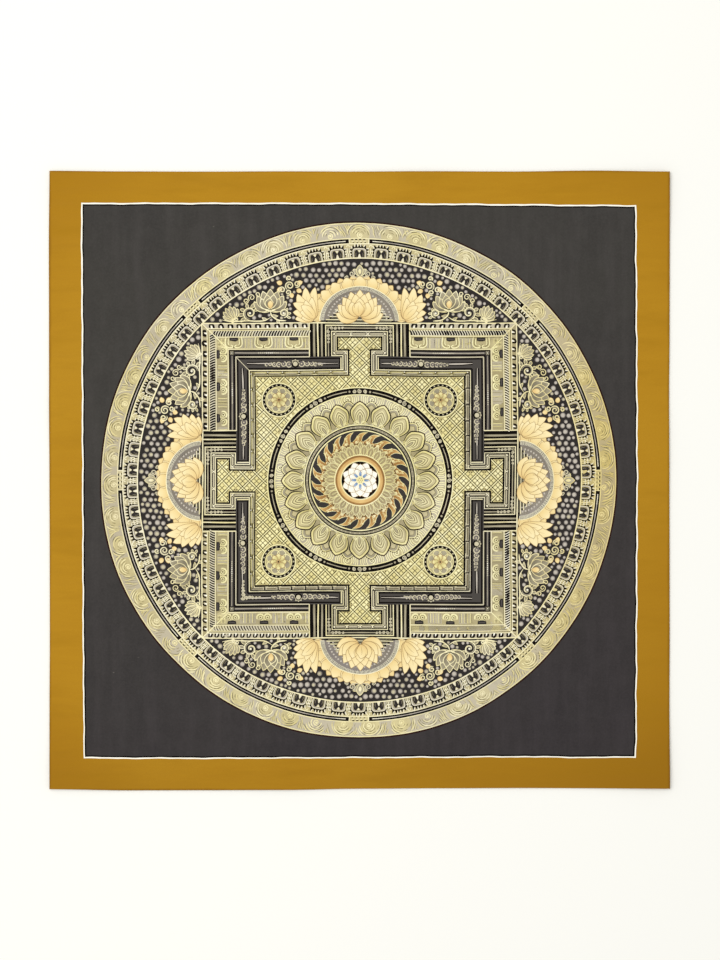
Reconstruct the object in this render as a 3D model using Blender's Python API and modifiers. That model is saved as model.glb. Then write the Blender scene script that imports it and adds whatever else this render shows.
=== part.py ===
"""Unmounted mandala painting: one square sheet of primed, painted cotton canvas.

The sheet lies painted face up. X runs across the picture, Y runs from its
lower edge to its upper edge, and Z is up. The origin is the middle of the
rectangle that bounds the sheet, on the surface it lies on. All sizes are in
metres unless a name ends in _MM.
"""
import bpy
from mathutils import Vector

# ---------------------------------------------------------------- dimensions
SHEET_WIDTH = 0.510        # mean left edge to mean right edge
SHEET_HEIGHT = 0.508       # mean lower edge to mean upper edge
SHEET_THICKNESS = 0.001    # primed cotton with its coats of paint
BORDER_WIDTH = 0.0275      # plain painted band around the dark field
CELLS_ACROSS_BORDER = 2    # grid cells from the cut edge to the field
CELLS_ACROSS_FIELD = 28    # grid cells over the field itself
LIFT_GROWTH = 0.5          # how much more steeply a lift rises near its peak

# How far each cut edge strays outwards from its mean line, in millimetres,
# at equal steps along it. "at" runs left to right for the lower and upper
# edges, and lower to upper for the left and right edges.
EDGE_STRAY_MM = (
    # at,   left, right, lower, upper
    (0.000, -0.16, 0.16, 0.00, 0.33),
    (0.125, -0.08, -0.16, 1.15, -0.08),
    (0.250, -0.33, 0.08, 1.00, -0.25),
    (0.375, -0.25, 0.00, 0.66, 0.00),
    (0.500, 0.00, -0.20, -0.25, -0.20),
    (0.625, 0.25, -0.45, -0.58, 0.00),
    (0.750, 0.36, 0.00, -0.82, -0.16),
    (0.875, 0.50, 0.16, -0.66, 0.62),
    (1.000, -0.16, 0.08, -0.50, -0.33),
)
EDGE_COLUMNS = {"left": 1, "right": 2, "lower": 3, "upper": 4}

# Where the rim stands a little off the surface. Each lift is centred on a
# point of the cut edge, given as shares of half the width and height. A lift
# on an edge fades along it over "spread" and inwards over "reach"; one at a
# corner fades over "spread" in every direction, with no reach of its own.
RIM_LIFTS = (
    # x,     y,     height_mm, spread_mm, reach_mm
    (1.00, -1.00, 2.4, 95.0, 0.0),
    (-1.00, -1.00, 1.5, 80.0, 0.0),
    (-1.00, 1.00, 1.1, 70.0, 0.0),
    (1.00, 1.00, 1.9, 88.0, 0.0),
    (-1.00, 0.22, 0.9, 60.0, 30.0),
    (1.00, 0.10, 0.8, 66.0, 32.0),
    (0.18, 1.00, 0.9, 72.0, 30.0),
    (-0.24, -1.00, 1.0, 78.0, 34.0),
)

OCHRE = (0.442, 0.214, 0.013, 1.0)
FIELD_BLACK = (0.054, 0.050, 0.047, 1.0)
RAW_COTTON = (0.660, 0.600, 0.480, 1.0)


def soft_step(share):
    """Smooth rise from 0 to 1 as share goes from 0 to 1."""
    share = min(max(share, 0.0), 1.0)
    return share * share * (3.0 - 2.0 * share)


def edge_stray(edge, at):
    """Outward stray of one cut edge, in metres, read smoothly from the table."""
    column = EDGE_COLUMNS[edge]
    steps = len(EDGE_STRAY_MM) - 1
    place = min(max(at, 0.0), 1.0) * steps
    row = min(int(place), steps - 1)
    low, high = EDGE_STRAY_MM[row][column], EDGE_STRAY_MM[row + 1][column]
    return (low + (high - low) * soft_step(place - row)) * 0.001


def outline_point(across, along):
    """Plan position of the sheet point at shares 0 to 1 of width and height."""
    left = -SHEET_WIDTH / 2 - edge_stray("left", along)
    right = SHEET_WIDTH / 2 + edge_stray("right", along)
    lower = -SHEET_HEIGHT / 2 - edge_stray("lower", across)
    upper = SHEET_HEIGHT / 2 + edge_stray("upper", across)
    return left + (right - left) * across, lower + (upper - lower) * along


def rim_lift(x, y):
    """Height of the sheet's underside over the surface, in metres."""
    total = 0.0
    for centre_x, centre_y, height_mm, spread_mm, reach_mm in RIM_LIFTS:
        away_x = abs(x - centre_x * SHEET_WIDTH / 2)
        away_y = abs(y - centre_y * SHEET_HEIGHT / 2)
        if reach_mm == 0.0:
            away = (away_x ** 2 + away_y ** 2) ** 0.5
            fall = soft_step(1.0 - away / (spread_mm * 0.001))
        else:
            on_side = abs(centre_x) == 1.0
            inward, along = (away_x, away_y) if on_side else (away_y, away_x)
            fall = (soft_step(1.0 - inward / (reach_mm * 0.001))
                    * soft_step(1.0 - along / (spread_mm * 0.001)))
        total += height_mm * 0.001 * fall * (1.0 - LIFT_GROWTH + LIFT_GROWTH * fall)
    return total


def grid_share(index):
    """Share of the sheet's width at a grid line, with its lines on the border."""
    border = BORDER_WIDTH / SHEET_WIDTH
    cells = CELLS_ACROSS_FIELD + 2 * CELLS_ACROSS_BORDER
    if index <= CELLS_ACROSS_BORDER:
        return border * index / CELLS_ACROSS_BORDER
    if index >= cells - CELLS_ACROSS_BORDER:
        return 1.0 - border * (cells - index) / CELLS_ACROSS_BORDER
    return border + (1.0 - 2.0 * border) * (index - CELLS_ACROSS_BORDER) / CELLS_ACROSS_FIELD


def paint(name, colour, roughness):
    """A plain Principled material, not metallic."""
    material = bpy.data.materials.new(name)
    material.use_nodes = True
    shader = material.node_tree.nodes["Principled BSDF"]
    shader.inputs["Base Color"].default_value = colour
    shader.inputs["Roughness"].default_value = roughness
    shader.inputs["Metallic"].default_value = 0.0
    material.diffuse_color = colour
    return material


def make_sheet(collection):
    """The sheet: a grid bent to the uneven outline, thickened by Solidify."""
    cells = CELLS_ACROSS_FIELD + 2 * CELLS_ACROSS_BORDER
    bpy.ops.mesh.primitive_grid_add(x_subdivisions=cells, y_subdivisions=cells, size=cells)
    sheet = bpy.context.active_object
    sheet.name = "painted_canvas"
    sheet.data.name = "painted_canvas"
    for parent in list(sheet.users_collection):
        parent.objects.unlink(sheet)
    collection.objects.link(sheet)

    places = {}
    for vertex in sheet.data.vertices:
        column = round(vertex.co.x + cells / 2)
        row = round(vertex.co.y + cells / 2)
        places[vertex.index] = outline_point(grid_share(column), grid_share(row))
    middle_x = (min(p[0] for p in places.values()) + max(p[0] for p in places.values())) / 2
    middle_y = (min(p[1] for p in places.values()) + max(p[1] for p in places.values())) / 2
    for vertex in sheet.data.vertices:
        x, y = places[vertex.index]
        x, y = x - middle_x, y - middle_y
        vertex.co = Vector((x, y, rim_lift(x, y)))

    for material in (paint("ochre_paint", OCHRE, 0.62),
                     paint("black_paint", FIELD_BLACK, 0.70),
                     paint("raw_cotton", RAW_COTTON, 0.90)):
        sheet.data.materials.append(material)
    inner_x = SHEET_WIDTH / 2 - BORDER_WIDTH
    inner_y = SHEET_HEIGHT / 2 - BORDER_WIDTH
    for face in sheet.data.polygons:
        centre = face.center
        on_field = abs(centre.x) < inner_x and abs(centre.y) < inner_y
        face.material_index = 1 if on_field else 0

    solid = sheet.modifiers.new("thickness", "SOLIDIFY")
    solid.thickness = SHEET_THICKNESS
    solid.offset = 1.0
    solid.use_even_offset = True
    solid.material_offset = 2        # the underside and the cut rim show the cloth
    solid.material_offset_rim = 2
    return sheet


def main():
    for item in list(bpy.data.objects):
        bpy.data.objects.remove(item, do_unlink=True)
    collection = bpy.data.collections.new("mandala_painting")
    bpy.context.scene.collection.children.link(collection)
    make_sheet(collection)


main()
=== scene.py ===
import math

import bpy
import numpy as np
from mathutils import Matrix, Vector
from mathutils.geometry import tessellate_polygon


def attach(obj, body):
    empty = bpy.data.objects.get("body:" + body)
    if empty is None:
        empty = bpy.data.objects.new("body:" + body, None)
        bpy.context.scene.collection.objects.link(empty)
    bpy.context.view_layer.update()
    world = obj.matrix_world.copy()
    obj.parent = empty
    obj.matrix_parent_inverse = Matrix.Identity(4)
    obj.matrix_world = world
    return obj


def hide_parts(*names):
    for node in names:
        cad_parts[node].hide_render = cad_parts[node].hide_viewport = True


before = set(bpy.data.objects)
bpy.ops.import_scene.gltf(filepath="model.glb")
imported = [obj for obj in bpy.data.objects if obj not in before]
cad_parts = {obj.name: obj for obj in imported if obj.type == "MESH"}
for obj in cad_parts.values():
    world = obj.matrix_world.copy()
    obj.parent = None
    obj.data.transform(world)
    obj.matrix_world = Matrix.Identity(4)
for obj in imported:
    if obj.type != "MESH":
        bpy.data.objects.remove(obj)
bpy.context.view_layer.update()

rng = np.random.default_rng(7)
pi, tau = math.pi, 2 * math.pi

# ------------------------------------------------------------------ the sheet
# Sizes in millimetres, the same as the CAD sheet's.
WIDTH, HEIGHT, THICK = 510.0, 508.0, 1.0
BORDER_CELLS, FIELD_CELLS = 10, 150

# Outward stray of each cut edge from its mean line, at equal steps along it.
EDGE_STRAY = np.array((
    # left, right, lower, upper
    (-0.16, 0.16, 0.00, 0.33),
    (-0.08, -0.16, 1.15, -0.08),
    (-0.33, 0.08, 1.00, -0.25),
    (-0.25, 0.00, 0.66, 0.00),
    (0.00, -0.20, -0.25, -0.20),
    (0.25, -0.45, -0.58, 0.00),
    (0.36, 0.00, -0.82, -0.16),
    (0.50, 0.16, -0.66, 0.62),
    (-0.16, 0.08, -0.50, -0.33),
))

# The white line between border and field: its nominal place on each side, and
# its outward stray from there at equal steps along it.
LINE_LEFT, LINE_RIGHT, LINE_LOWER, LINE_UPPER = -227.2, 227.4, -227.2, 226.9
LINE_STRAY = np.array((
    # left, right, lower, upper
    (-1.7, -0.8, 0.4, 0.7),
    (-0.7, 0.2, 1.1, 0.9),
    (-0.2, 0.5, 1.2, 0.9),
    (0.0, 0.8, 0.9, 0.9),
    (0.2, 1.1, 0.6, 0.7),
    (0.4, 0.9, 0.3, 0.3),
    (0.6, 0.6, -0.1, -0.2),
    (1.0, 0.2, 0.5, -0.8),
    (1.0, -0.7, -0.5, -1.2),
))

# Where the rim stands a little off the surface.
RIM_LIFTS = (
    # x,     y,     height, spread, reach
    (1.00, -1.00, 2.4, 95.0, 0.0),
    (-1.00, -1.00, 1.5, 80.0, 0.0),
    (-1.00, 1.00, 1.1, 70.0, 0.0),
    (1.00, 1.00, 1.9, 88.0, 0.0),
    (-1.00, 0.22, 0.9, 60.0, 30.0),
    (1.00, 0.10, 0.8, 66.0, 32.0),
    (0.18, 1.00, 0.9, 72.0, 30.0),
    (-0.24, -1.00, 1.0, 78.0, 34.0),
)


def soft_step(u):
    u = np.clip(u, 0.0, 1.0)
    return u * u * (3.0 - 2.0 * u)


def table(rows, column, at):
    """A table's column read smoothly at shares 0 to 1."""
    steps = len(rows) - 1
    place = np.clip(at, 0.0, 1.0) * steps
    row = np.minimum(place.astype(int), steps - 1)
    low, high = rows[row, column], rows[row + 1, column]
    return low + (high - low) * soft_step(place - row)


def rim_lift(x, y):
    total = np.zeros_like(x)
    for cx, cy, height, spread, reach in RIM_LIFTS:
        ax, ay = np.abs(x - cx * WIDTH / 2), np.abs(y - cy * HEIGHT / 2)
        if reach == 0.0:
            fall = soft_step(1.0 - np.hypot(ax, ay) / spread)
        else:
            inward, along = (ax, ay) if abs(cx) == 1.0 else (ay, ax)
            fall = soft_step(1.0 - inward / reach) * soft_step(1.0 - along / spread)
        total += height * fall * (0.5 + 0.5 * fall)
    return total


def cockle(x, y):
    """The painted face's own slight unevenness."""
    return (0.085 * np.sin(x / 17.0 + 0.8) * np.sin(y / 21.0 + 0.3)
            + 0.045 * np.sin((x + 1.4 * y) / 13.0 + 2.0))


def top_of(x, y):
    return rim_lift(x, y) + THICK + cockle(x, y)


def wobble(at, seed, size=1.0):
    """A hand-drawn line's own wander."""
    return size * (0.16 * np.sin(at * 61.0 + seed) + 0.10 * np.sin(at * 117.0 + 2.3 * seed)
                   + 0.07 * np.sin(at * 223.0 + 4.1 * seed))


def line_lines(across, along):
    """Places of the four white-line sides met at these shares."""
    return (LINE_LEFT - table(LINE_STRAY, 0, along) + wobble(along, 1.0),
            LINE_RIGHT + table(LINE_STRAY, 1, along) + wobble(along, 2.0, 1.5),
            LINE_LOWER - table(LINE_STRAY, 2, across) + wobble(across, 3.0),
            LINE_UPPER + table(LINE_STRAY, 3, across) + wobble(across, 4.0))


# The outline's own middle, which the CAD sheet puts at the origin.
_at = np.linspace(0, 1, 33)
_e = [table(EDGE_STRAY, c, _at) for c in range(4)]
SHIFT_X = ((WIDTH / 2 + _e[1].max()) - (WIDTH / 2 + _e[0].max())) / 2
SHIFT_Y = ((HEIGHT / 2 + _e[3].max()) - (HEIGHT / 2 + _e[2].max())) / 2


def sheet_points(across, along):
    """Plan places of the sheet at grid shares, with grid lines on the white line."""
    left = -WIDTH / 2 - table(EDGE_STRAY, 0, along) - SHIFT_X
    right = WIDTH / 2 + table(EDGE_STRAY, 1, along) - SHIFT_X
    lower = -HEIGHT / 2 - table(EDGE_STRAY, 2, across) - SHIFT_Y
    upper = HEIGHT / 2 + table(EDGE_STRAY, 3, across) - SHIFT_Y
    l0, l1, l2, l3 = line_lines(across, along)
    b = 27.5 / 510.0

    def zoned(u, a, c, d, e):
        inner = (u - b) / (1 - 2 * b)
        return np.where(u <= b, a + (c - a) * u / b,
                        np.where(u >= 1 - b, e - (e - d) * (1 - u) / b, c + (d - c) * inner))
    return zoned(across, left, l0, l1, right), zoned(along, lower, l2, l3, upper)


def shares():
    b = 27.5 / 510.0
    return np.concatenate([np.linspace(0, b, BORDER_CELLS + 1)[:-1],
                           np.linspace(b, 1 - b, FIELD_CELLS + 1),
                           np.linspace(1 - b, 1, BORDER_CELLS + 1)[1:]])


# --------------------------------------------------------------- mesh building
def mesh_object(name, verts, quads=None, tris=None, smooth=True):
    """A mesh from arrays: verts in millimetres, faces as rows of indices."""
    quads = np.zeros((0, 4), int) if quads is None else np.asarray(quads, int)
    tris = np.zeros((0, 3), int) if tris is None else np.asarray(tris, int)
    me = bpy.data.meshes.new(name)
    me.vertices.add(len(verts))
    me.vertices.foreach_set("co", (np.asarray(verts, float) * 0.001).astype(np.float32).ravel())
    loops = np.concatenate([quads.ravel(), tris.ravel()]).astype(np.int32)
    me.loops.add(len(loops))
    me.loops.foreach_set("vertex_index", loops)
    starts = np.concatenate([np.arange(len(quads)) * 4, len(quads) * 4 + np.arange(len(tris)) * 3])
    me.polygons.add(len(starts))
    me.polygons.foreach_set("loop_start", starts.astype(np.int32))
    me.polygons.foreach_set("use_smooth", np.full(len(starts), smooth))
    me.update(calc_edges=True)
    me.validate()
    ob = bpy.data.objects.new(name, me)
    bpy.context.scene.collection.objects.link(ob)
    return ob


def set_map(ob, uv):
    layer = ob.data.uv_layers.new(name="OFBake")
    layer.data.foreach_set("uv", np.asarray(uv, np.float32).ravel())


def flat_map(ob, span=0.53):
    """A plan-view map, so that a pattern keeps its place on the sheet."""
    me = ob.data
    co = np.empty(len(me.vertices) * 3, np.float32)
    me.vertices.foreach_get("co", co)
    idx = np.empty(len(me.loops), np.int32)
    me.loops.foreach_get("vertex_index", idx)
    set_map(ob, co.reshape(-1, 3)[idx][:, :2] / span + 0.5)


def make_canvas():
    u = shares()
    n = len(u)
    gx, gy = np.meshgrid(u, u)
    x, y = sheet_points(gx, gy)
    lift = rim_lift(x, y)
    top = np.stack([x, y, lift + THICK + cockle(x, y)], -1).reshape(-1, 3)
    low = np.stack([x, y, lift], -1).reshape(-1, 3)
    i = (np.arange(n - 1)[:, None] * n + np.arange(n - 1)[None, :])
    up = np.stack([i, i + 1, i + n + 1, i + n], -1).reshape(-1, 4)
    down = up[:, ::-1] + n * n
    a = np.concatenate([np.arange(n - 1), (np.arange(n - 1) * n + n - 1),
                        (n * n - 1 - np.arange(n - 1)), (n * (n - 1) - np.arange(n - 1) * n)])
    b = np.concatenate([a[1:], a[:1]])
    rim = np.stack([a + n * n, b + n * n, b, a], -1)
    ob = mesh_object("canvas_sheet", np.concatenate([top, low]), np.concatenate([up, down, rim]))
    on_field = ((i // n >= BORDER_CELLS) & (i // n < BORDER_CELLS + FIELD_CELLS)
                & (i % n >= BORDER_CELLS) & (i % n < BORDER_CELLS + FIELD_CELLS)).ravel()
    slots = np.concatenate([on_field.astype(int), np.full(len(down), 2), np.full(len(rim), 3)])
    ob.data.polygons.foreach_set("material_index", slots.astype(np.int32))
    ob.data.set_sharp_from_angle(angle=0.7)
    # its map: the painted face, the back and the four edges each have their own room
    face = np.concatenate([top, low])[:, :2]
    k = np.arange(len(rim))
    s, row = (k % (n - 1)) / (n - 1), k // (n - 1)
    x0, x1 = 0.715 + 0.27 * s, 0.715 + 0.27 * (s + 1.0 / (n - 1))
    y0, y1 = 0.40 + 0.05 * row, 0.42 + 0.05 * row
    set_map(ob, np.concatenate([(face[up.ravel()] / 530 + 0.5) * 0.70,
                                (face[down.ravel()] / 530 + 0.5) * 0.28 + (0.71, 0.02),
                                np.stack([x0, y0, x1, y0, x1, y1, x0, y1], -1).reshape(-1, 2)]))
    return ob


# --------------------------------------------------------------------- strokes
CENTRE = np.array((0.5, -0.1))


def hand(p):
    """Moves design points a little, as a hand-ruled drawing strays; the outer rings
    stand a little to the left of the square."""
    x, y = p[:, 0], p[:, 1]
    out = np.clip((np.hypot(x, y) - 167.0) / 45.0, 0.0, 1.0)
    dx = 0.30 * np.sin(y / 31.0 + 0.7) + 0.16 * np.sin(x / 11.0 + y / 23.0 + 1.3)
    dy = 0.30 * np.sin(x / 27.0 + 2.1) + 0.16 * np.sin(y / 12.0 - x / 19.0 + 0.4)
    return p + np.stack([dx - 1.25 * out, dy + 0.25 * out], 1) + CENTRE


def same(p):
    return p


def side(k):
    """Puts (along, outward) of one of the four sides in the picture."""
    c, s = ((1, 0), (0, -1), (-1, 0), (0, 1))[k]

    def put(p):
        p = np.asarray(p, float)
        return np.stack([p[:, 0] * c - p[:, 1] * s, p[:, 0] * s + p[:, 1] * c], 1)
    return put


def ring_at(radius, start=0.0):
    """Puts (along, outward) on a circle of this radius; start is in degrees from the top."""
    def put(p):
        p = np.asarray(p, float)
        a = pi / 2 - math.radians(start) - p[:, 0] / radius
        return np.stack([(radius + p[:, 1]) * np.cos(a), (radius + p[:, 1]) * np.sin(a)], 1)
    return put


def cut_up(p, step=4.0):
    """A polyline with no run longer than step."""
    p = np.asarray(p, float)
    out = [p[:1]]
    for a, b in zip(p[:-1], p[1:]):
        k = max(1, int(math.ceil(np.hypot(*(b - a)) / step)))
        out.append(a + (b - a) * (np.arange(1, k + 1) / k)[:, None])
    return np.concatenate(out)


def curve(p, n=6, closed=False):
    """A smooth curve through control points."""
    p = np.asarray(p, float)
    if closed:
        q = np.concatenate([p[-1:], p, p[:2]])
    else:
        q = np.concatenate([2 * p[:1] - p[1:2], p, 2 * p[-1:] - p[-2:-1]])
    u = (np.arange(n) / n)[:, None]
    out = []
    for i in range(1, len(q) - 2):
        a, b, c, d = q[i - 1], q[i], q[i + 1], q[i + 2]
        out.append(0.5 * (2 * b + (c - a) * u + (2 * a - 5 * b + 4 * c - d) * u ** 2
                          + (3 * b - a - 3 * c + d) * u ** 3))
    out = np.concatenate(out)
    return out if closed else np.concatenate([out, p[-1:]])


def arc(cx, cy, r, a0, a1, step=1.3):
    """An arc, angles in degrees anticlockwise from +X."""
    a0, a1 = math.radians(a0), math.radians(a1)
    k = max(3, int(math.ceil(abs(a1 - a0) * r / step)) + 1)
    a = np.linspace(a0, a1, k)
    return np.stack([cx + r * np.cos(a), cy + r * np.sin(a)], 1)


def circle(r, step=2.2, cx=0.0, cy=0.0):
    return arc(cx, cy, r, 0, 360, step)[:-1]


def spiral(cx, cy, r0, r1, a0, turns, step=1.1):
    """A spiral from radius r0 to r1, starting at a0 degrees; negative turns run clockwise."""
    length = abs(turns) * tau * (r0 + r1) / 2
    k = max(8, int(math.ceil(length / step)))
    u = np.linspace(0, 1, k)
    r = r0 + (r1 - r0) * u
    a = math.radians(a0) + turns * tau * u
    return np.stack([cx + r * np.cos(a), cy + r * np.sin(a)], 1)


def evenly(p, step):
    """Points and tangent angles at equal steps along a polyline."""
    d = np.diff(p, axis=0)
    s = np.concatenate([[0], np.cumsum(np.hypot(d[:, 0], d[:, 1]))])
    k = max(2, int(round(s[-1] / step)))
    q = (np.arange(k) + 0.5) * s[-1] / k
    x, y = np.interp(q, s, p[:, 0]), np.interp(q, s, p[:, 1])
    i = np.clip(np.searchsorted(s, q) - 1, 0, len(d) - 1)
    return np.stack([x, y], 1), np.arctan2(d[i, 1], d[i, 0])


def stretches(p, keep, least=3):
    """The runs of a path's points that keep() accepts."""
    ok = keep(p)
    edges = np.flatnonzero(np.diff(np.concatenate([[False], ok, [False]]).astype(int)))
    return [p[a:b] for a, b in zip(edges[::2], edges[1::2]) if b - a >= least]


def petal_sides(base, tip, width, bend=0.0, foot=0.6, head=0.8, ogee=0.3, n=12):
    """Two sides and the middle of a petal: foot and head are how fast it swells at
    each end, and ogee draws its tip out to a point."""
    b, t = np.asarray(base, float), np.asarray(tip, float)
    d = t - b
    length = math.hypot(*d)
    d = d / length
    nrm = np.array([-d[1], d[0]])
    u = np.linspace(0, 1, n)
    u = u + 0.10 * np.sin(tau * u) / tau * -1.0
    mid = b + np.outer(u * length, d) + np.outer(np.sin(pi * u) * bend * length, nrm)
    peak = foot / (foot + head)
    w = (u / peak) ** foot * ((1 - u) / (1 - peak)) ** head * (1 - ogee * soft_step((u - 0.62) / 0.38))
    w = w * width / 2
    tang = np.gradient(mid, axis=0)
    tang /= np.hypot(tang[:, 0], tang[:, 1])[:, None]
    off = np.stack([-tang[:, 1], tang[:, 0]], 1) * w[:, None]
    return mid + off, mid - off, mid, u


def outline_of(a, b):
    return np.concatenate([a, b[::-1][1:-1]])


def phase(p):
    return float((p[0, 0] * 1.7 + p[0, 1] * 2.9) % tau)


class Paint:
    """One colour of paint: strokes and fills gathered into one low-relief mesh."""
    every = []
    lift = None                        # extra height by place, while it is set
    scale = 0.45                       # real height of a drawn height

    def __init__(self, name, look, base, rise, tone=0.5, vary=0.0):
        self.name, self.look, self.base, self.rise = name, look, base, rise
        self.tone, self.vary = tone, vary
        self.p, self.z, self.c, self.q, self.t, self.n = [], [], [], [], [], 0
        Paint.every.append(self)

    def _add(self, pts, h, tone=None, z=None):
        first = self.n
        if tone is None:
            tone = self.tone + (rng.normal() * self.vary if self.vary else 0.0)
        self.p.append(hand(pts))
        extra = Paint.lift(pts) if Paint.lift else 0.0
        self.z.append(np.broadcast_to(h, len(pts)) * self.rise + (self.base if z is None else z) + extra)
        self.c.append(np.broadcast_to(np.asarray(tone, float), len(pts)))
        self.n += len(pts)
        return first

    def stroke(self, pts, width=0.7, m=same, closed=False, taper=0.0, end=0.35, tone=None, z=None,
               profile=None, flat=None, shake=0.06):
        """A brush line with a low round back. taper is the share of each end it thins over."""
        p = m(np.asarray(pts, float))
        if closed:
            p = np.concatenate([p, p[:1]])
        keep = np.concatenate([[True], np.hypot(*np.diff(p, axis=0).T) > 1e-3])
        p = p[keep]
        if len(p) < 2:
            return
        d = np.diff(p, axis=0)
        run = np.hypot(d[:, 0], d[:, 1])
        d = d / run[:, None]
        s = np.concatenate([[0], np.cumsum(run)])
        if closed:
            before, after = np.concatenate([d[-1:], d]), np.concatenate([d, d[:1]])
        else:
            before, after = np.concatenate([d[:1], d]), np.concatenate([d, d[-1:]])
        mid = before + after
        size = np.maximum(np.hypot(mid[:, 0], mid[:, 1]), 0.7)
        mid = mid / size[:, None]
        nrm = np.stack([-mid[:, 1], mid[:, 0]], 1)
        ph = phase(p)
        w = width * (1 + 0.08 * np.sin(s / 3.1 + ph) + 0.05 * np.sin(s / 1.3 + 2 * ph))
        if profile is not None:
            w = w * np.interp(s / s[-1], np.linspace(0, 1, len(profile)), profile)
        if taper and not closed:
            u = s / s[-1]
            w = w * (end + (1 - end) * soft_step(u / taper) * soft_step((1 - u) / taper))
        if shake and not closed:
            p = p + nrm * (shake * np.sin(s / 4.3 + 3 * ph))[:, None]
        off = nrm * (w / 2 * 2.0 / size)[:, None]
        if closed:
            p, off = p[:-1], off[:-1]
        k = len(p)
        i = np.arange(k if closed else k - 1)
        j = (i + 1) % k
        if self.rise < 0.04 if flat is None else flat:
            first = self._add(np.concatenate([p - off, p + off]), 0.0, tone, z)
            self.q.append(np.stack([first + i, first + j, first + k + j, first + k + i], 1))
            return
        first = self._add(np.concatenate([p - off, p, p + off]),
                          np.concatenate([np.zeros(k), np.ones(k), np.zeros(k)]), tone, z)
        right, centre, left = first, first + k, first + 2 * k
        self.q.append(np.concatenate([np.stack([right + i, right + j, centre + j, centre + i], 1),
                                      np.stack([centre + i, centre + j, left + j, left + i], 1)]))

    def line(self, a, b, width=0.7, m=same, step=5.0, **more):
        self.stroke(cut_up([a, b], step), width, m, **more)

    def path(self, pts, width=0.7, m=same, step=5.0, **more):
        self.stroke(cut_up(pts, step), width, m, shake=0.0, **more)

    def grid(self, pts, m=same, h=None, tone=None, z=None):
        """A fill from a grid of points, rows by columns."""
        r, c = pts.shape[:2]
        flat = m(pts.reshape(-1, 2))
        g = flat.reshape(r, c, 2)
        a = np.diff(g[:, :-1], axis=0)
        b = np.diff(g[:-1], axis=1)
        turn = (a[..., 0] * b[..., 1] - a[..., 1] * b[..., 0]).sum()
        first = self._add(flat, 0.0 if h is None else h.ravel(), tone, z)
        i = (np.arange(r - 1)[:, None] * c + np.arange(c - 1)[None, :]).ravel() + first
        q = np.stack([i, i + c, i + c + 1, i + 1], 1)
        self.q.append(q if turn > 0 else q[:, ::-1])

    def strip(self, a, b, m=same, cols=2, dome=0.0, tone=None, z=None):
        """A fill between two sides with as many points each. tone may run along it."""
        u = np.linspace(0, 1, cols + 1)
        pts = a[:, None, :] * (1 - u)[None, :, None] + b[:, None, :] * u[None, :, None]
        h = np.tile(dome * (1 - (2 * u - 1) ** 2), (len(a), 1))
        if tone is not None and np.ndim(tone) == 1:
            tone = (np.asarray(tone)[:, None] - 0.16 * (2 * u - 1)[None, :] ** 2).ravel()
        self.grid(pts, m, h, tone, z)

    def bar(self, s0, s1, t0, t1, m=same, step=8.0, miter0=0.0, miter1=0.0, **more):
        """A straight band from s0 to s1, t0 to t1; miters shift its ends at t1."""
        k = max(1, int(math.ceil(abs(s1 - s0) / step)))
        c = max(1, int(math.ceil(abs(t1 - t0) / step)))
        u, v = np.linspace(0, 1, k + 1), np.linspace(0, 1, c + 1)
        s = ((s0 + miter0 * v)[None, :] * (1 - u)[:, None] + (s1 + miter1 * v)[None, :] * u[:, None])
        t = np.broadcast_to(t0 + (t1 - t0) * v, s.shape)
        self.grid(np.stack([s, t], -1), m, **more)

    def ring(self, r0, r1, m=same, a0=0.0, a1=360.0, step=3.0, cx=0.0, cy=0.0, **more):
        a0, a1 = math.radians(a0), math.radians(a1)
        k = max(8, int(abs(a1 - a0) * max(r0, r1) / step))
        c = max(1, int(math.ceil(abs(r1 - r0) / 6)))
        a, r = np.linspace(a0, a1, k + 1), np.linspace(r0, r1, c + 1)
        self.grid(np.stack([cx + r[None, :] * np.cos(a)[:, None],
                            cy + r[None, :] * np.sin(a)[:, None]], -1), m, **more)

    def dot(self, x, y, r, m=same, n=8, dome=1.0, squash=1.0, tone=None, z=None, rim=None):
        a = 0.4 + np.arange(n) * tau / n
        pts = np.concatenate([[[x, y]], np.stack([x + r * np.cos(a), y + r * squash * np.sin(a)], 1)])
        pts = m(pts)
        e = pts[1:] - pts[0]
        turn = (e[:, 0] * np.roll(e[:, 1], -1) - e[:, 1] * np.roll(e[:, 0], -1)).sum()
        if rim is not None:
            tone = np.concatenate([[self.tone if tone is None else tone], np.full(n, rim)])
        first = self._add(pts, np.concatenate([[dome], np.zeros(n)]), tone, z)
        i = np.arange(n)
        t = np.stack([np.full(n, first), first + 1 + i, first + 1 + (i + 1) % n], 1)
        self.t.append(t if turn > 0 else t[:, ::-1])

    def blob(self, outline, m=same, tone=None, z=None):
        """A flat fill of any simple outline."""
        p = m(np.asarray(outline, float))
        tri = np.array(tessellate_polygon([[Vector((a, b, 0)) for a, b in p]]), int)
        if not len(tri):
            return
        a, b, c = p[tri[:, 0]], p[tri[:, 1]], p[tri[:, 2]]
        area = (b[:, 0] - a[:, 0]) * (c[:, 1] - a[:, 1]) - (b[:, 1] - a[:, 1]) * (c[:, 0] - a[:, 0])
        tri = tri[np.abs(area) > 1e-6]
        area = area[np.abs(area) > 1e-6]
        tri[area < 0] = tri[area < 0][:, ::-1]
        first = self._add(p, 0.0, tone, z)
        self.t.append(tri + first)

    def build(self):
        p, z = np.concatenate(self.p), np.concatenate(self.z)
        ob = mesh_object(self.name, np.column_stack([p, top_of(p[:, 0], p[:, 1]) + z * Paint.scale]),
                         np.concatenate(self.q) if self.q else None,
                         np.concatenate(self.t) if self.t else None)
        layer = ob.data.attributes.new("tone", "FLOAT", "POINT")
        layer.data.foreach_set("value", np.concatenate(self.c).astype(np.float32))
        flat_map(ob)
        return ob

    def triangles(self):
        return 2 * sum(map(len, self.q)) + sum(map(len, self.t))


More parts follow.
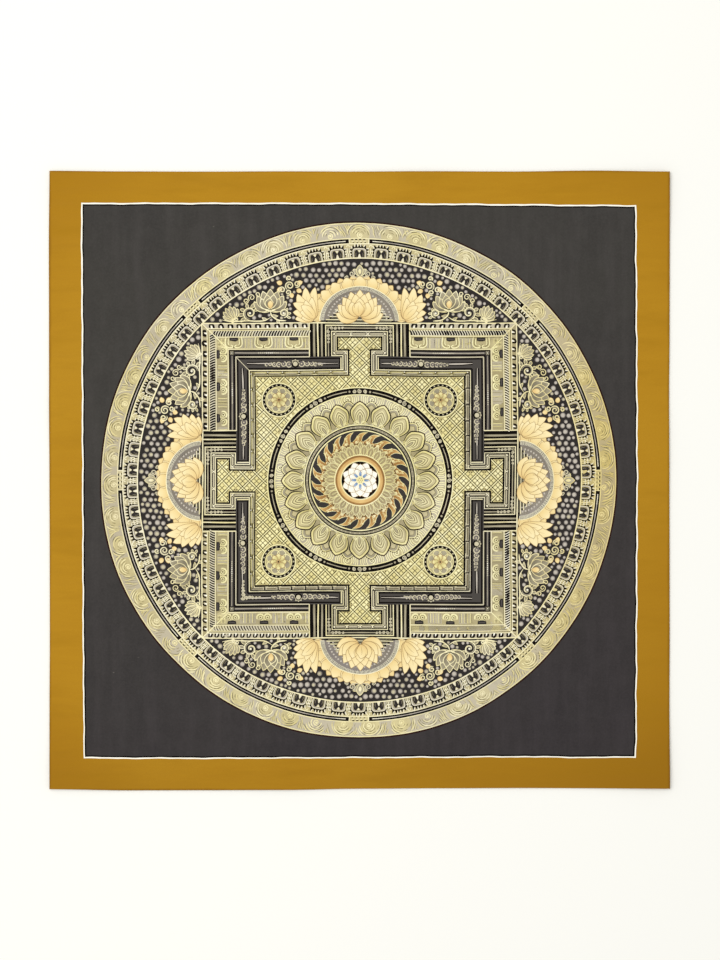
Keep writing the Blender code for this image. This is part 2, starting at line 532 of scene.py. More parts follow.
# Paints, from the ground up: name, finish, height over the cloth, and extra at a stroke's back.
edge_black = Paint("paint_field_edge", "ink", 0.03, 0.0)
grey_wash = Paint("paint_grey_wash", "grey_wash", 0.05, 0.0)
olive_wash = Paint("paint_olive_wash", "olive_wash", 0.09, 0.0)
cream_wash = Paint("paint_cream_wash", "cream_wash", 0.11, 0.0)
black = Paint("paint_black_bands", "black", 0.13, 0.0)
ink = Paint("paint_ink_forms", "ink", 0.17, 0.0)
grey = Paint("paint_grey_marks", "grey", 0.21, 0.05, 0.5, 0.14)
pearl = Paint("paint_pearl_marks", "pearl", 0.21, 0.05, 0.5, 0.10)
olive = Paint("paint_olive_lines", "olive", 0.29, 0.0, 0.5, 0.15)
peach = Paint("paint_pale_gold_forms", "peach", 0.25, 0.05)
amber = Paint("paint_amber_forms", "amber", 0.25, 0.05)
pale = Paint("paint_white_forms", "white", 0.26, 0.05)
gold_ring = Paint("paint_gold_lines_ring", "gold_warm", 0.33, 0.07, 0.55, 0.14)
gold_petals = Paint("paint_gold_lines_petals", "gold", 0.33, 0.07, 0.6, 0.14)
gold_field = Paint("paint_gold_lines_segments", "gold", 0.33, 0.07, 0.6, 0.14)
gold_house = Paint("paint_gold_lines_square", "gold", 0.33, 0.07, 0.6, 0.14)
gold_floor = Paint("paint_gold_lines_floor", "gold_deep", 0.33, 0.07, 0.6, 0.14)
gold_heart = Paint("paint_gold_lines_centre", "gold_deep", 0.33, 0.07, 0.6, 0.14)
sepia = Paint("paint_sepia_lines", "sepia", 0.37, 0.0, 0.5, 0.1)
ink_over = Paint("paint_ink_lines", "ink", 0.39, 0.02)
white = Paint("paint_white_marks", "white", 0.43, 0.07, 0.6, 0.1)
blue = Paint("paint_blue_marks", "blue", 0.43, 0.06)

# The circle's bands: outer edge, dark ring, petals, and the ground inside them.
R_OUT, R_A, R_B, R_C = 211.6, 198.8, 194.7, 182.5


# ------------------------------------------------------------ the white line
def draw_white_line():
    at = np.linspace(0, 1, 151)
    b = 27.5 / 510.0
    u = b + (1 - 2 * b) * at
    low, high = np.full_like(u, b), np.full_like(u, 1 - b)
    sides = [sheet_points(u, low), sheet_points(high, u),
             sheet_points(u[::-1], high), sheet_points(low, u[::-1])]
    path = np.concatenate([np.stack(s, 1)[:-1] for s in sides])
    undo = path.copy()
    for _ in range(4):                 # the strokes are moved by hand(), this one isn't
        undo = undo + (path - hand(undo))
    white.stroke(undo, 1.12, closed=True, tone=0.9, profile=(1.05, 0.9, 0.88, 0.95, 1.0, 0.98, 1.1, 1.12, 1.1, 1.08, 0.95, 0.92))
    inner = undo.copy()
    d = np.roll(inner, -1, 0) - np.roll(inner, 1, 0)
    d /= np.hypot(d[:, 0], d[:, 1])[:, None]
    nrm = np.stack([-d[:, 1], d[:, 0]], 1)
    nrm[::150] *= math.sqrt(2)
    edge_black.stroke(inner + nrm * 1.05, 1.35, closed=True)


# ---------------------------------------------------------- the circle's bands
def draw_scroll_ring():
    grey_wash.ring(R_A - 0.6, R_OUT + 0.1, tone=0.98, z=0.09)
    ink.stroke(circle(R_OUT + 0.62), 1.35, closed=True, tone=0.7)
    for r, w, tone in ((R_OUT - 0.4, 0.85, 0.85), (R_A + 0.1, 0.85, 0.9)):
        gold_ring.stroke(circle(r), w, closed=True, tone=tone)
    count = 55
    turn_at = np.array([360.0 / count * (k + rng.uniform(-0.13, 0.13)) for k in range(count)])
    deep = R_OUT - R_A
    for k in range(count):
        m = ring_at(R_A, turn_at[k])
        wide = math.radians((turn_at[(k + 1) % count] - turn_at[k]) % 360) * (R_A + 6)
        j = rng.uniform(-1, 1, 8)
        e = 1 if rng.uniform() < 0.5 else -1
        cx, cy = 0.9 * j[6], 3.1 + 0.5 * j[0]
        big = 9.3 + 0.9 * j[1]
        warm = 0.5 + 0.5 * j[3]
        if j[4] > -0.5:                 # yellower paint inside most whorls
            cream_wash.dot(0, 3.6, big * (0.85 + 0.1 * j[2]), m, n=18, dome=0, squash=0.85, tone=0.80 + 0.25 * j[5], rim=0.75, z=0.105)
        gold_ring.stroke(spiral(cx, cy, 2.5, 0.5, 90 + 80 * j[5], 1.45 * e, 0.8), 0.85, m, taper=0.05, tone=0.7 + 0.3 * warm)
        gold_ring.dot(cx, cy, 0.75, m, n=6, tone=1.0)
        r, i = 2.5 + 1.7, 0
        while r < big + 1.4:
            low = math.degrees(math.asin(min(0.95, (cy - 0.9 - 0.25 * i) / r)))
            x = cx - 0.30 * e * i
            run = arc(x, cy - 0.15 * i, r, -low, 180 + low, 1.1)
            n = len(run)
            lo, hi = int(n * rng.uniform(0.0, 0.22)), int(n * rng.uniform(0.78, 1.0))
            run = run[lo:hi]
            run = run[run[:, 1] < deep - 1.2]
            tone = 0.55 + 0.4 * warm + 0.3 * rng.uniform(-1, 1)
            for part in np.split(run, np.flatnonzero(np.hypot(*np.diff(run, axis=0).T) > 2.5) + 1):
                cut = int(rng.integers(3, max(4, len(part) - 3))) if len(part) > 12 else 0
                for piece in (part[:cut], part[cut + 1:]) if cut else (part,):
                    if len(piece) > 3 and rng.uniform() < 0.92:
                        gold_ring.stroke(piece, 0.85 + 0.15 * rng.uniform(-1, 1), m, taper=0.2, tone=tone)
            for q in range(5):
                b = rng.uniform(0, 155)
                olive.stroke(arc(x, cy - 0.15 * i, r - 0.9, b, b + 26, 1.0), 0.42, m, taper=0.3, tone=0.8)
            r, i = r + 1.75 + 0.45 * rng.uniform(0, 1), i + 1
        # slanting ribs to the next whorl
        lean = 1 if rng.uniform() < 0.5 else -1

        def clear(p):
            return ((np.hypot(p[:, 0] - cx, p[:, 1] - cy) > big + 0.8) & (np.hypot(p[:, 0] - wide - 0.3, p[:, 1] - 3.4) > 10.2)
                    & (p[:, 1] > 0.8) & (p[:, 1] < deep - 1.2))
        if j[7] > -0.6:
            half = 2.9
            grey_wash.blob(np.array([(wide / 2 - half - lean * 1.4, 0.6), (wide / 2 + half - lean * 1.4, 0.6),
                                     (wide / 2 + half * 1.6 + lean * 2.0, deep - 0.9), (wide / 2 - half * 1.6 + lean * 2.0, deep - 0.9)]), m,
                           tone=1.35, z=0.112)
        for i in range(-5, 6):
            x = wide / 2 + i * 1.75
            sway = 0.6 * math.sin(i * 1.3 + k)
            run = curve([(x - lean * 2.0, 0.8), (x - lean * 0.8 + sway, 4.4), (x + lean * 0.8 - sway, 8.2), (x + lean * 2.4, deep - 1.1)], 5)
            for part in stretches(run, clear, 4):
                if rng.uniform() < 0.75:
                    gold_ring.stroke(part, 0.72, m, taper=0.2, tone=0.25 + 0.45 * warm)
                olive.stroke(part + (0.85, 0.0), 0.38, m, taper=0.3, tone=1.0)


def draw_dark_ring():
    ink.ring(R_B + 0.2, R_A - 0.1, tone=0.1)
    mid = (R_A + R_B) / 2 - 0.05
    pearl.stroke(circle(mid), 0.72, closed=True, tone=0.80, z=0.25)
    gold_petals.stroke(circle(R_B - 0.1), 0.80, closed=True, tone=0.85)
    for k in range(8):
        m = ring_at(mid, k * 45.0 + (0.8 if k % 2 else 0.0))
        half = 8.4 + rng.uniform(-1.0, 1.0)
        s = np.linspace(-half, half, 9)
        cream_wash.strip(np.stack([s, np.full(9, -1.75)], 1), np.stack([s, np.full(9, 1.95)], 1), m, 1, tone=0.75, z=0.36)
        for e in (-1, 1):
            gold_petals.line((e * half, -1.7), (e * half, 1.7), 0.7, m, tone=0.9, z=0.38)
            ink_over.line((e * (half + 1.6), -1.65), (e * (half + 1.6), 1.65), 2.5, m)
            for q in (3.2, 4.6, 6.0, 7.4, 8.8, 10.2):
                white.line((e * (half + q), 0.0), (e * (half + q + 1.15), 0.0), 0.9 - 0.04 * q, m, tone=0.45)
        for q in np.arange(-half + 1.6, half - 1.8, 3.3):
            ink_over.line((q, 1.25), (q + 1.9, 1.25), 0.85, m)
            ink_over.line((q + 1.2, -1.1), (q + 2.5, -1.1), 0.6, m)
            gold_petals.line((q + 0.4, 0.0), (q + 2.2, 0.0), 0.6, m, tone=0.95, z=0.38)


def arch(width, height, foot=0.0, n=9):
    """A square-shouldered arch with a slight point, from left foot to right foot."""
    w = width / 2
    left = curve([(-w, foot), (-w * 1.01, foot + (height - foot) * 0.50), (-w * 0.97, foot + (height - foot) * 0.80),
                  (-w * 0.68, foot + (height - foot) * 0.975), (0, height)], n)
    right = left[::-1][1:] * (-1, 1)
    return np.concatenate([left, right])


def draw_petal_ring():
    cream_wash.ring(R_C - 0.2, R_B, tone=0.55)
    # the units are a little closer together round the foot of the ring
    places, at = [], 0.0
    while at < 359.0 - 2.0:
        places.append(at)
        at += 5.30 + 0.27 * math.cos(math.radians(at))
    places = np.array(places) * (360.0 / at)
    steps = np.diff(np.append(places, 360.0))
    for k, place in enumerate(places):
        m = ring_at(R_C, place + rng.uniform(-0.10, 0.10))
        pitch = math.radians(steps[k]) * (R_C + 6)
        j = rng.uniform(-1, 1, 8)
        high = 9.3 + 0.25 * j[0]
        # the gap between two petals: fine ribs, a loop by the rim, and greyer paint in places
        gap = pitch / 2
        if j[5] > 0.0:
            grey_wash.blob(np.array([(gap - 1.9, 0.8), (gap + 1.9, 0.8), (gap + 2.1, 8.5), (gap - 2.1, 8.5)]), m, tone=1.25, z=0.112)
        for s, w, paint, tone in ((-1.75, 0.55, gold_petals, 0.8), (-1.05, 0.36, olive, 0.5), (-0.35, 0.65, gold_petals, 0.9),
                                  (0.4, 0.36, olive, 0.6), (1.1, 0.6, gold_petals, 0.8), (1.8, 0.36, olive, 0.4)):
            q = 0.35 * (1 if k % 2 else -1)
            paint.stroke(curve([(gap + s, 0.9), (gap + s + q, 2.8), (gap + s - q, 5.2), (gap + s * 0.8, 8.9 - 0.5 * abs(s))], 3), w, m,
                         taper=0.2, tone=tone)
        gold_petals.stroke(arc(gap, 10.1, 1.05, -30, 210, 0.8), 0.6, m, tone=0.9)
        # dark teeth, with pale sparks between their tips
        tooth, ang = evenly(arch(11.9, high, 1.0, 7), 2.35)
        n = len(tooth)
        for i, ((tx, ty), a) in enumerate(zip(tooth, ang)):
            t, nrm = np.array((math.cos(a), math.sin(a))), np.array((-math.sin(a), math.cos(a)))
            c = np.array((tx, ty))
            edge = min(i, n - 1 - i)
            long, half = ((1.15, 0.55), (1.30, 0.62), (1.7, 0.82))[edge] if edge < 3 else (2.2 + 0.3 * rng.uniform(-1, 1), 1.02)
            lean = t * (0.5 * (1 if i < n / 2 else -1) + rng.uniform(-0.4, 0.4))
            ink.blob([c - nrm * 0.5 - t * half, c - nrm * 0.5 + t * half, c + nrm * long * 0.5 + t * 0.62 + lean * 0.3,
                      c + nrm * long + t * 0.22 + lean, c + nrm * long - t * 0.22 + lean,
                      c + nrm * long * 0.5 - t * 0.62 + lean * 0.3], m, z=0.30)
            if 0 < i < n:
                u = (c + tooth[i - 1]) / 2
                white.line(tuple(u + nrm * 0.35), tuple(u + nrm * (0.9 + long * 0.95)), 0.80, m, tone=0.45, taper=0.4, step=1.2)
        ink.strip(arch(12.1, high + 0.1, 0.3, 5), arch(10.9, high - 0.80, 0.3, 5), m, 1, z=0.30)
        # the pale band and the dark heart
        a, b = arch(11.0, high - 0.75, 0.0, 6), arch(8.4, high - 2.25, 0.0, 6)
        pearl.strip(a, b, m, 2, 0.3, tone=1.25 + 0.2 * j[6], z=0.32)
        gold_petals.stroke(arch(10.6, high - 0.98, 0.2, 5), 0.34, m, tone=0.95, z=0.34)
        olive.stroke(arch(8.7, high - 2.1, 0.2, 5), 0.30, m, tone=0.0, z=0.335)
        cream_wash.blob(arch(8.5, high - 2.2, 0.0, 5), m, tone=1.2, z=0.325)
        top = high - 2.3
        black.blob(np.array([(-3.9, 0.5), (-4.05, top * 0.55), (-3.75, top * 0.84), (-2.7, top), (-1.45, top * 0.98), (-0.30, top * 0.70),
                           (0.30, top * 0.70), (1.45, top * 0.98), (2.7, top), (3.75, top * 0.84), (4.05, top * 0.55), (3.9, 0.5), (1.45, 0.5),
                           (0.85, top * 0.34), (0.30, top * 0.55), (-0.30, top * 0.55), (-0.85, top * 0.34), (-1.45, 0.5)]), m, z=0.345,
                 tone=-0.3)
        white.blob(np.array([(-1.25, 0.3), (1.25, 0.3), (0.65, top * 0.32), (0.22, top * 0.52), (-0.22, top * 0.52), (-0.65, top * 0.32)]), m,
                   tone=0.3, z=0.34)
        white.line((0, top * 0.74), (0, top * 1.0), 1.1, m, tone=0.3, z=0.35, profile=(0.4, 1.0, 1.3), step=1.0)
        for e in (-1, 1):
            grey.stroke(curve([(e * 2.3, 1.0), (e * 2.9, 2.6), (e * 2.6, 4.6)], 3), 0.36, m, taper=0.3, tone=0.1, z=0.37)
    gold_field.stroke(circle(R_C + 0.2), 0.95, closed=True, tone=0.8, z=0.40)


# --------------------------------------------- the ground between ring and square
HOUSE = 129.5                          # half the square's side
taken = []          # discs that the scattered dots keep off, in picture millimetres


def keep_off(m, x, y, r):
    q = m(np.array([[x, y]], float))[0]
    taken.append((q[0], q[1], r))


def petal(fill, line, base, tip, width, m=same, bend=0.0, foot=0.55, head=0.75, ogee=0.3, w=0.45, z=None,
          tones=(0.15, 0.9), veins=0, vein=None, n=12, dome=0.2):
    """One filled petal with its outline; z is its height, its outline a little over it."""
    a, b, mid, u = petal_sides(base, tip, width, bend, foot, head, ogee, n)
    if fill is not None:
        fill.strip(a, b, m, 4 if width > 4 else 2, dome, tones[0] + (tones[1] - tones[0]) * u, z)
    over = None if z is None else z + 0.014
    if line is not None:
        line.stroke(outline_of(a, b), w, m, closed=True, z=over, flat=True)
    for v in (np.linspace(-0.5, 0.5, veins) if veins > 1 else (0.0,) * veins):
        run = mid + (a - b) / 2 * v
        (vein or line).stroke(run[2:-3], w * 0.8, m, taper=0.4, z=over, flat=True)


def lotus(m, x, y, size, fill, line, z=0.25, rows=((9, 1.0, 0.40, 84), (6, 0.80, 0.38, 62)), w=0.45,
          tones=(0.1, 0.95), veins=0, vein=None, lift=0.0):
    """An open lotus seen from the side, its foot at x, y: rows of petals, each given as
    how many, their length and width as shares of size, and how far they lean, in degrees."""
    for n, length, width, lean in rows:
        angles = np.linspace(-lean, lean, n)
        for a in sorted(angles, key=lambda v: -abs(v) + (0.01 if v > 0 else 0)):   # outer pairs first
            c, s = math.sin(math.radians(a)), math.cos(math.radians(a))
            reach = size * length * (1.0 - 0.10 * abs(a) / lean)
            petal(fill, line, (x + c * size * 0.05, y + s * size * 0.04 + lift),
                  (x + c * reach, y + s * reach + size * 0.05), size * width, m,
                  bend=0.10 * a / lean * -1, z=z, tones=tones, w=w, veins=veins, vein=vein, foot=0.75, head=0.62, ogee=0.42)
            z += 0.010
    return z


def draw_canopy(k):
    """A large open lotus in front of a rayed half disc, over each gate."""
    m = side(k)
    base = HOUSE + 1.2
    for x, y, r in ((0, 4, 35.0), (-16, 7, 28.0), (16, 7, 28.0), (-28, 2, 16.0), (28, 2, 16.0)):
        keep_off(m, x, base + y - 2, r)
    def low(p):                        # the half disc and its leaves are a little flattened
        p = np.asarray(p, float)
        return m(np.stack([p[:, 0], base + (p[:, 1] - base) * 0.88], 1))
    # leaves round the half disc, from the sides to the top
    z = 0.25
    for a in (20, 160, 35, 145, 51, 129, 67, 113, 82, 98):
        c, s = math.cos(math.radians(a)), math.sin(math.radians(a))
        petal(peach, sepia, (29.0 * c, base + 29.0 * s), (43.6 * c, base + 43.6 * s), 9.4, low, foot=0.5, head=0.55,
              ogee=0.4, w=0.36, z=z, tones=(-0.1, 0.6), veins=1, vein=sepia)
    z = 0.30
    for a in (10, 170, 26, 154, 42, 138, 58, 122, 74, 106, 90):
        for da, tip, width in ((-7.5, 39.4, 7.8), (7.5, 39.4, 7.8), (0, 42.2, 10.4)):
            c, s = math.cos(math.radians(a + da)), math.sin(math.radians(a + da))
            c0, s0 = math.cos(math.radians(a)), math.sin(math.radians(a))
            petal(peach, sepia, (29.4 * c0, base + 29.4 * s0), (tip * c, base + tip * s), width, low, foot=0.5, head=0.55,
                  ogee=0.3, w=0.34, z=z, tones=(0.1, 1.0), n=14)
            z += 0.010
    # rayed half disc
    z = 0.66
    rows = np.linspace(2, 178, 45)
    fan = np.stack([np.stack([r * np.cos(np.radians(rows)), base + r * np.sin(np.radians(rows))], 1)
                    for r in (2, 12, 22, 32.6)], 1)
    pearl.grid(fan, low, tone=0.40, z=z)
    for a in np.arange(2.0, 178.5, 1.95):
        c, s = math.cos(math.radians(a)), math.sin(math.radians(a))
        white.line((29.2 * c, base + 29.2 * s), (32.0 * c, base + 32.0 * s), 0.56, low, z=z + 0.012, flat=True, tone=0.2)
        c, s = math.cos(math.radians(a + 0.97)), math.sin(math.radians(a + 0.97))
        ink_over.line((29.4 * c, base + 29.4 * s), (31.9 * c, base + 31.9 * s), 0.48, low, z=z + 0.01)
    gold_field.stroke(arc(0, base, 32.6, 1, 179), 0.7, low, z=z + 0.014, tone=0.9)
    for r in np.arange(28.2, 22.0, -1.25):
        grey.stroke(arc(0, base, r, 3, 177, 2.0), 0.45, low, z=z + 0.008, tone=0.0, flat=True)
    for r, step in ((26.0, 2.9), (22.4, 3.3)):
        for q in np.arange(8, 173, math.degrees(step / r)):
            c, s = math.cos(math.radians(q)), math.sin(math.radians(q))
            pearl.dot(r * c, base + r * s, 0.85, low, n=7, z=z + 0.016, tone=1.2)
    # stepped seat
    for i, half in enumerate((27.5, 24.5, 21.5)):
        t0 = HOUSE + 0.5 + i * 2.5
        ink.bar(-half, half, t0, t0 + 1.9, m, z=z + 0.02)
        gold_field.line((-half, t0 + 2.15), (half, t0 + 2.15), 0.75, m, z=z + 0.03, tone=0.8, flat=True)
        grey.line((-half + 1.2, t0 + 0.95), (half - 1.2, t0 + 0.95), 0.42, m, z=z + 0.03, tone=0.1, flat=True)
    for e in (-1, 1):
        for s in np.arange(12.4, 20.5, 2.9):
            gold_field.stroke(arc(e * s, HOUSE + 8.8, 1.15, 0, 180, 0.8), 0.65, m, z=z + 0.03, tone=0.9)
            ink.dot(e * s, HOUSE + 8.9, 0.62, m, n=6, z=z + 0.03)
        gold_field.line((e * 10.5, HOUSE + 11.0), (e * 20.0, HOUSE + 11.0), 0.6, m, z=z + 0.03, tone=0.7, flat=True)
    # the open lotus
    lotus(m, 0, HOUSE + 4.6, 21.6, peach, sepia, z=z + 0.05, w=0.36,
          rows=((9, 1.0, 0.46, 84), (6, 0.86, 0.44, 60), (3, 0.68, 0.42, 30), (1, 0.60, 0.44, 1)), tones=(0.1, 1.0), veins=1,
          vein=sepia)
    # a bud and two curls over the middle
    top = base + 37.6
    for e in (-1, 1):
        grey.stroke(spiral(e * 6.6, top + 1.5, 2.7, 0.4, 90, 1.6 * e, 0.8), 0.85, m, tone=1.1, z=0.34, taper=0.1)
        grey.stroke(curve([(0, top - 0.6), (e * 3.2, top - 1.3), (e * 6.6, top - 1.2)], 4), 0.75, m, tone=1.1, z=0.34)
        grey.stroke(spiral(e * 11.4, top - 1.6, 1.8, 0.3, 90, 1.4 * e, 0.8), 0.75, m, tone=1.0, z=0.34, taper=0.1)
        petal(grey, gold_field, (e * 1.0, top - 0.4), (e * 5.4, top + 5.0), 3.4, m, z=0.30, w=0.5, n=9, bend=0.12 * e, foot=0.6, head=0.6)
    petal(grey, gold_field, (0, top - 0.8), (0, top + 8.6), 5.4, m, z=0.33, w=0.6, n=12, foot=0.6, head=0.5, ogee=0.4, tones=(0.2, 0.9))
    petal(gold_field, None, (0, top + 1.0), (0, top + 5.4), 2.4, m, z=0.37, n=9, foot=0.6, head=0.5, tones=(0.6, 1.0))
    # a quarter fan of leaves either side
    for e in (-1, 1):
        z = 0.72
        for a, reach, w in ((88, 27.5, 7.8), (4, 17.5, 7.0), (72, 29.0, 8.6), (20, 20.5, 8.0), (55, 27.0, 8.8), (37, 24.0, 8.6),
                            (80, 19.5, 6.6), (10, 12.5, 5.6), (62, 19.0, 7.2), (28, 15.0, 6.6), (45, 17.5, 7.4)):
            c, s = math.cos(math.radians(a)), math.sin(math.radians(a))
            petal(peach, sepia, (e * (35.6 + c * 2), base + 0.6 + s * 2), (e * (35.6 + c * reach), base + 0.6 + s * reach), w, m,
                  bend=0.08 * e * (1 if a < 48 else -1), z=z, w=0.32, tones=(0.25, 1.05), veins=1, vein=sepia, foot=0.5, head=0.5,
                  ogee=0.30)
            z += 0.013


def rosette(cx, cy, r, m=same, petals=8, turn=0.0, fill=grey, line=gold_field, w=0.42, z=0.22, tones=(0.2, 0.8)):
    for k in range(petals):
        a = turn + k * tau / petals
        c, s = math.cos(a), math.sin(a)
        petal(fill, line, (cx + c * r * 0.16, cy + s * r * 0.16), (cx + c * r, cy + s * r), r * 0.66, m,
              foot=0.7, head=0.5, ogee=0.2, w=w, n=9, z=z, tones=tones)
        z += 0.004
    line.dot(cx, cy, r * 0.27, m, n=9, z=z + 0.08, tone=0.8)
    ink_over.dot(cx, cy, r * 0.11, m, n=6, dome=0.1, z=z + 0.17)


def tendril(m, points, w=0.95, leaves=(), e=1):
    """A stem with small leaves; each leaf is its share along the stem, side and length."""
    path = curve(points, 7)
    gold_field.stroke(path, w, m, taper=0.15, tone=0.75)
    d = np.gradient(path, axis=0)
    for at, way, length in leaves:
        i = int(at * (len(path) - 1))
        t = d[i] / np.hypot(*d[i])
        nrm = np.array((-t[1], t[0])) * way
        tip = path[i] + (t * 0.62 + nrm * 0.78) * length
        petal(grey, gold_field, path[i] + nrm * w * 0.4, tip, length * 0.42, m, bend=-0.12 * way, z=0.22, w=0.45, n=9,
              foot=0.6, head=0.8)
        c = (path[i] + tip) / 2
        keep_off(m, c[0], c[1], length * 0.42)


def palmette(m, x, y, size, turn, n=7, spread=64, fill=grey, line=gold_field, z=0.22, w=0.6, tones=(0.1, 0.6)):
    """A fan of narrow ribbed leaves rising from a pair of curls."""
    for a in sorted(np.linspace(-spread, spread, n), key=lambda v: -abs(v)):
        b = math.radians(90 - a - turn)
        c, s = math.cos(b), math.sin(b)
        reach = size * (1.0 - 0.20 * (abs(a) / spread) ** 1.5)
        petal(fill, line, (x, y), (x + c * reach, y + s * reach), size * 0.26, m, bend=-0.10 * a / spread, foot=0.9, head=0.45,
              ogee=0.15, w=w, z=z, tones=tones, veins=1, n=10)
        z += 0.012
    for e in (-1, 1):
        b = math.radians(90 - turn)
        cx, cy = x + math.sin(b) * e * size * 0.17 - math.cos(b) * size * 0.06, y - math.cos(b) * e * size * 0.17 - math.sin(b) * size * 0.06
        line.stroke(spiral(cx, cy, size * 0.15, 0.4, 90 - turn, 1.3 * e, 0.8), w + 0.1, m, z=z + 0.03, tone=0.8)
    keep_off(m, x + size * 0.5 * math.cos(math.radians(90 - turn)), y + size * 0.5 * math.sin(math.radians(90 - turn)), size * 0.56)


def scroll(m, e, cx, cy, r, turn, leaves=(-50, -15, 20, 60, 100, 145)):
    """A round tendril with leaves on its back."""
    gold_field.stroke(spiral(e * cx, HOUSE + cy, r, 1.3, -90, turn * e, 1.0), 0.85, m, taper=0.1, tone=0.75)
    grey.stroke(spiral(e * cx, HOUSE + cy, r - 1.15, 0.8, -90, turn * e, 1.0), 0.5, m, taper=0.1, tone=0.7)
    white.dot(e * cx, HOUSE + cy, 0.95, m, n=8, tone=0.5)
    keep_off(m, e * cx, HOUSE + cy, r + 0.4)
    for a in leaves:
        c, s = math.cos(math.radians(a)) * e * turn / abs(turn), math.sin(math.radians(a))
        q = r * (1.0 - 0.5 * (a + 90) / 360)
        petal(grey, gold_field, (e * cx + c * q, HOUSE + cy + s * q),
              (e * cx + c * (q + r * 0.66) - s * 1.2 * e * turn, HOUSE + cy + s * (q + r * 0.66)), r * 0.42, m,
              z=0.22, w=0.5, n=8, bend=0.1 * e, foot=0.6, head=0.6, tones=(0.0, 0.6))
        keep_off(m, e * cx + c * (q + r * 0.3), HOUSE + cy + s * (q + r * 0.3), r * 0.28)


def draw_spray(m, e):
    """A lotus on its stem with curled tendrils, in the corner beside a gate."""
    # the flower
    x, y = e * 73.5, HOUSE + 11.6
    for da, length in ((-58, 9.5), (58, 9.5)):
        c, s = math.sin(math.radians(da)), math.cos(math.radians(da))
        petal(grey, gold_field, (x, y - 1), (x + c * length * 1.6, y + s * length * 1.3), 5.0, m, bend=0.15 * (-1 if da > 0 else 1),
              z=0.20, w=0.55, tones=(-0.2, 0.3), veins=1, foot=0.6, head=0.6)
    lotus(m, x, y, 15.8, grey, gold_field, z=0.23, rows=((7, 1.0, 0.46, 70), (4, 0.76, 0.42, 42), (1, 0.6, 0.40, 1)), w=0.62,
          tones=(-0.3, 0.5))
    gold_field.stroke(curve([(x - 4.2, y - 0.2), (x, y - 1.6), (x + 4.2, y - 0.2)], 4), 0.9, m, z=0.48, tone=0.8)
    ink_over.stroke(curve([(x - 3.2, y + 0.8), (x, y - 0.3), (x + 3.2, y + 0.8)], 4), 0.5, m, z=0.52)
    petal(peach, sepia, (x, y + 0.6), (x, y + 7.2), 4.4, m, foot=0.7, head=0.5, w=0.36, z=0.50, tones=(0.0, 0.8))
    keep_off(m, x, y + 6.6, 10.6)
    # its stem and tendrils
    tendril(m, [(x, y - 1.6), (e * 72.0, HOUSE + 6.0), (e * 67.0, HOUSE + 2.6), (e * 60.5, HOUSE + 1.8)], 1.0,
            ((0.30, -e, 5.2), (0.62, e, 4.6)))
    tendril(m, [(e * 72.4, HOUSE + 5.4), (e * 78.0, HOUSE + 2.4), (e * 85.0, HOUSE + 1.9), (e * 92.0, HOUSE + 2.2),
                (e * 99.0, HOUSE + 1.9), (e * 106.0, HOUSE + 1.8), (e * 113.0, HOUSE + 3.0)], 0.9,
            ((0.14, e, 4.2), (0.92, e, 3.4)))
    scroll(m, e, 90.0, 8.6, 5.9, 1.35)
    scroll(m, e, 62.6, 8.2, 3.9, -1.35, (-40, 0, 45, 95))
    palmette(m, e * 103.0, HOUSE + 3.4, 11.5, e * 28.0, n=6, spread=46)
    # a spray of curls beside the canopy's shoulder, and one by the ring
    for dx, dy, r, t in ((0, 0, 3.9, 1.7), (6.4, -3.4, 3.0, 1.5), (-6.0, 1.2, 3.0, -1.5), (1.4, -5.6, 2.6, -1.4), (0.6, 6.0, 2.2, 1.3)):
        x, y = e * 57.5 + dx * e, HOUSE + 31.0 + dy
        gold_field.stroke(spiral(x, y, r, 0.6, -60 if e > 0 else 240, t * e, 0.9), 0.75, m, taper=0.1, tone=0.7)
        grey.stroke(spiral(x, y, r - 0.9, 0.5, -60 if e > 0 else 240, t * e, 0.9), 0.42, m, taper=0.1, tone=0.5)
        keep_off(m, x, y, r + 0.2)
    for a in (-150, -100, 160, 20, -20):
        c, s = math.cos(math.radians(a)) * e, math.sin(math.radians(a))
        petal(peach, sepia, (e * 57.5 + c * 6.6, HOUSE + 30.6 + s * 5.9), (e * 57.5 + c * 11.4, HOUSE + 30.6 + s * 10.2), 3.8, m, z=0.22,
              w=0.30, n=9, foot=0.5, head=0.6, tones=(0.2, 0.9))
        keep_off(m, e * 57.5 + c * 9.0, HOUSE + 30.6 + s * 8.4, 1.7)
    for dx, dy, r, t in ((0, 0, 3.0, 1.5), (4.8, -2.9, 2.3, -1.4), (-4.6, 2.6, 2.2, -1.3)):
        x, y = e * 88.5 + dx * e, HOUSE + 21.4 + dy
        gold_field.stroke(spiral(x, y, r, 0.6, -60 if e > 0 else 240, t * e, 0.9), 0.7, m, taper=0.1, tone=0.65)
        keep_off(m, x, y, r + 0.2)


def open_room(paints, start, cell=0.5, most=6):
    """A map of the clear distance, in cells of the picture, to what the paints have drawn since start."""
    size = int(2 * (R_C + 8) / cell)
    full = np.zeros((size, size), bool)
    for paint, (q0, t0) in zip(paints, start):
        pts = np.concatenate(paint.p)
        for faces in (*paint.q[q0:], *paint.t[t0:]):
            corners = pts[faces]
            after = np.roll(corners, -1, 1)
            for v in (0.0, 0.33, 0.67):
                spots = np.concatenate([(corners * (1 - v) + after * v).reshape(-1, 2), corners.mean(1)])
                at = ((spots + R_C + 8) / cell).astype(int)
                at = at[((at >= 0) & (at < size)).all(1)]
                full[at[:, 0], at[:, 1]] = True
    room = np.full(full.shape, float(most))
    steps = [(math.hypot(i, j), i, j) for i in range(-most, most + 1) for j in range(-most, most + 1)]
    i, j = np.nonzero(full)
    for far, di, dj in sorted(steps, reverse=True):
        if far < most:
            a, b = np.clip(i + di, 0, size - 1), np.clip(j + dj, 0, size - 1)
            room[a, b] = far
    return room, cell


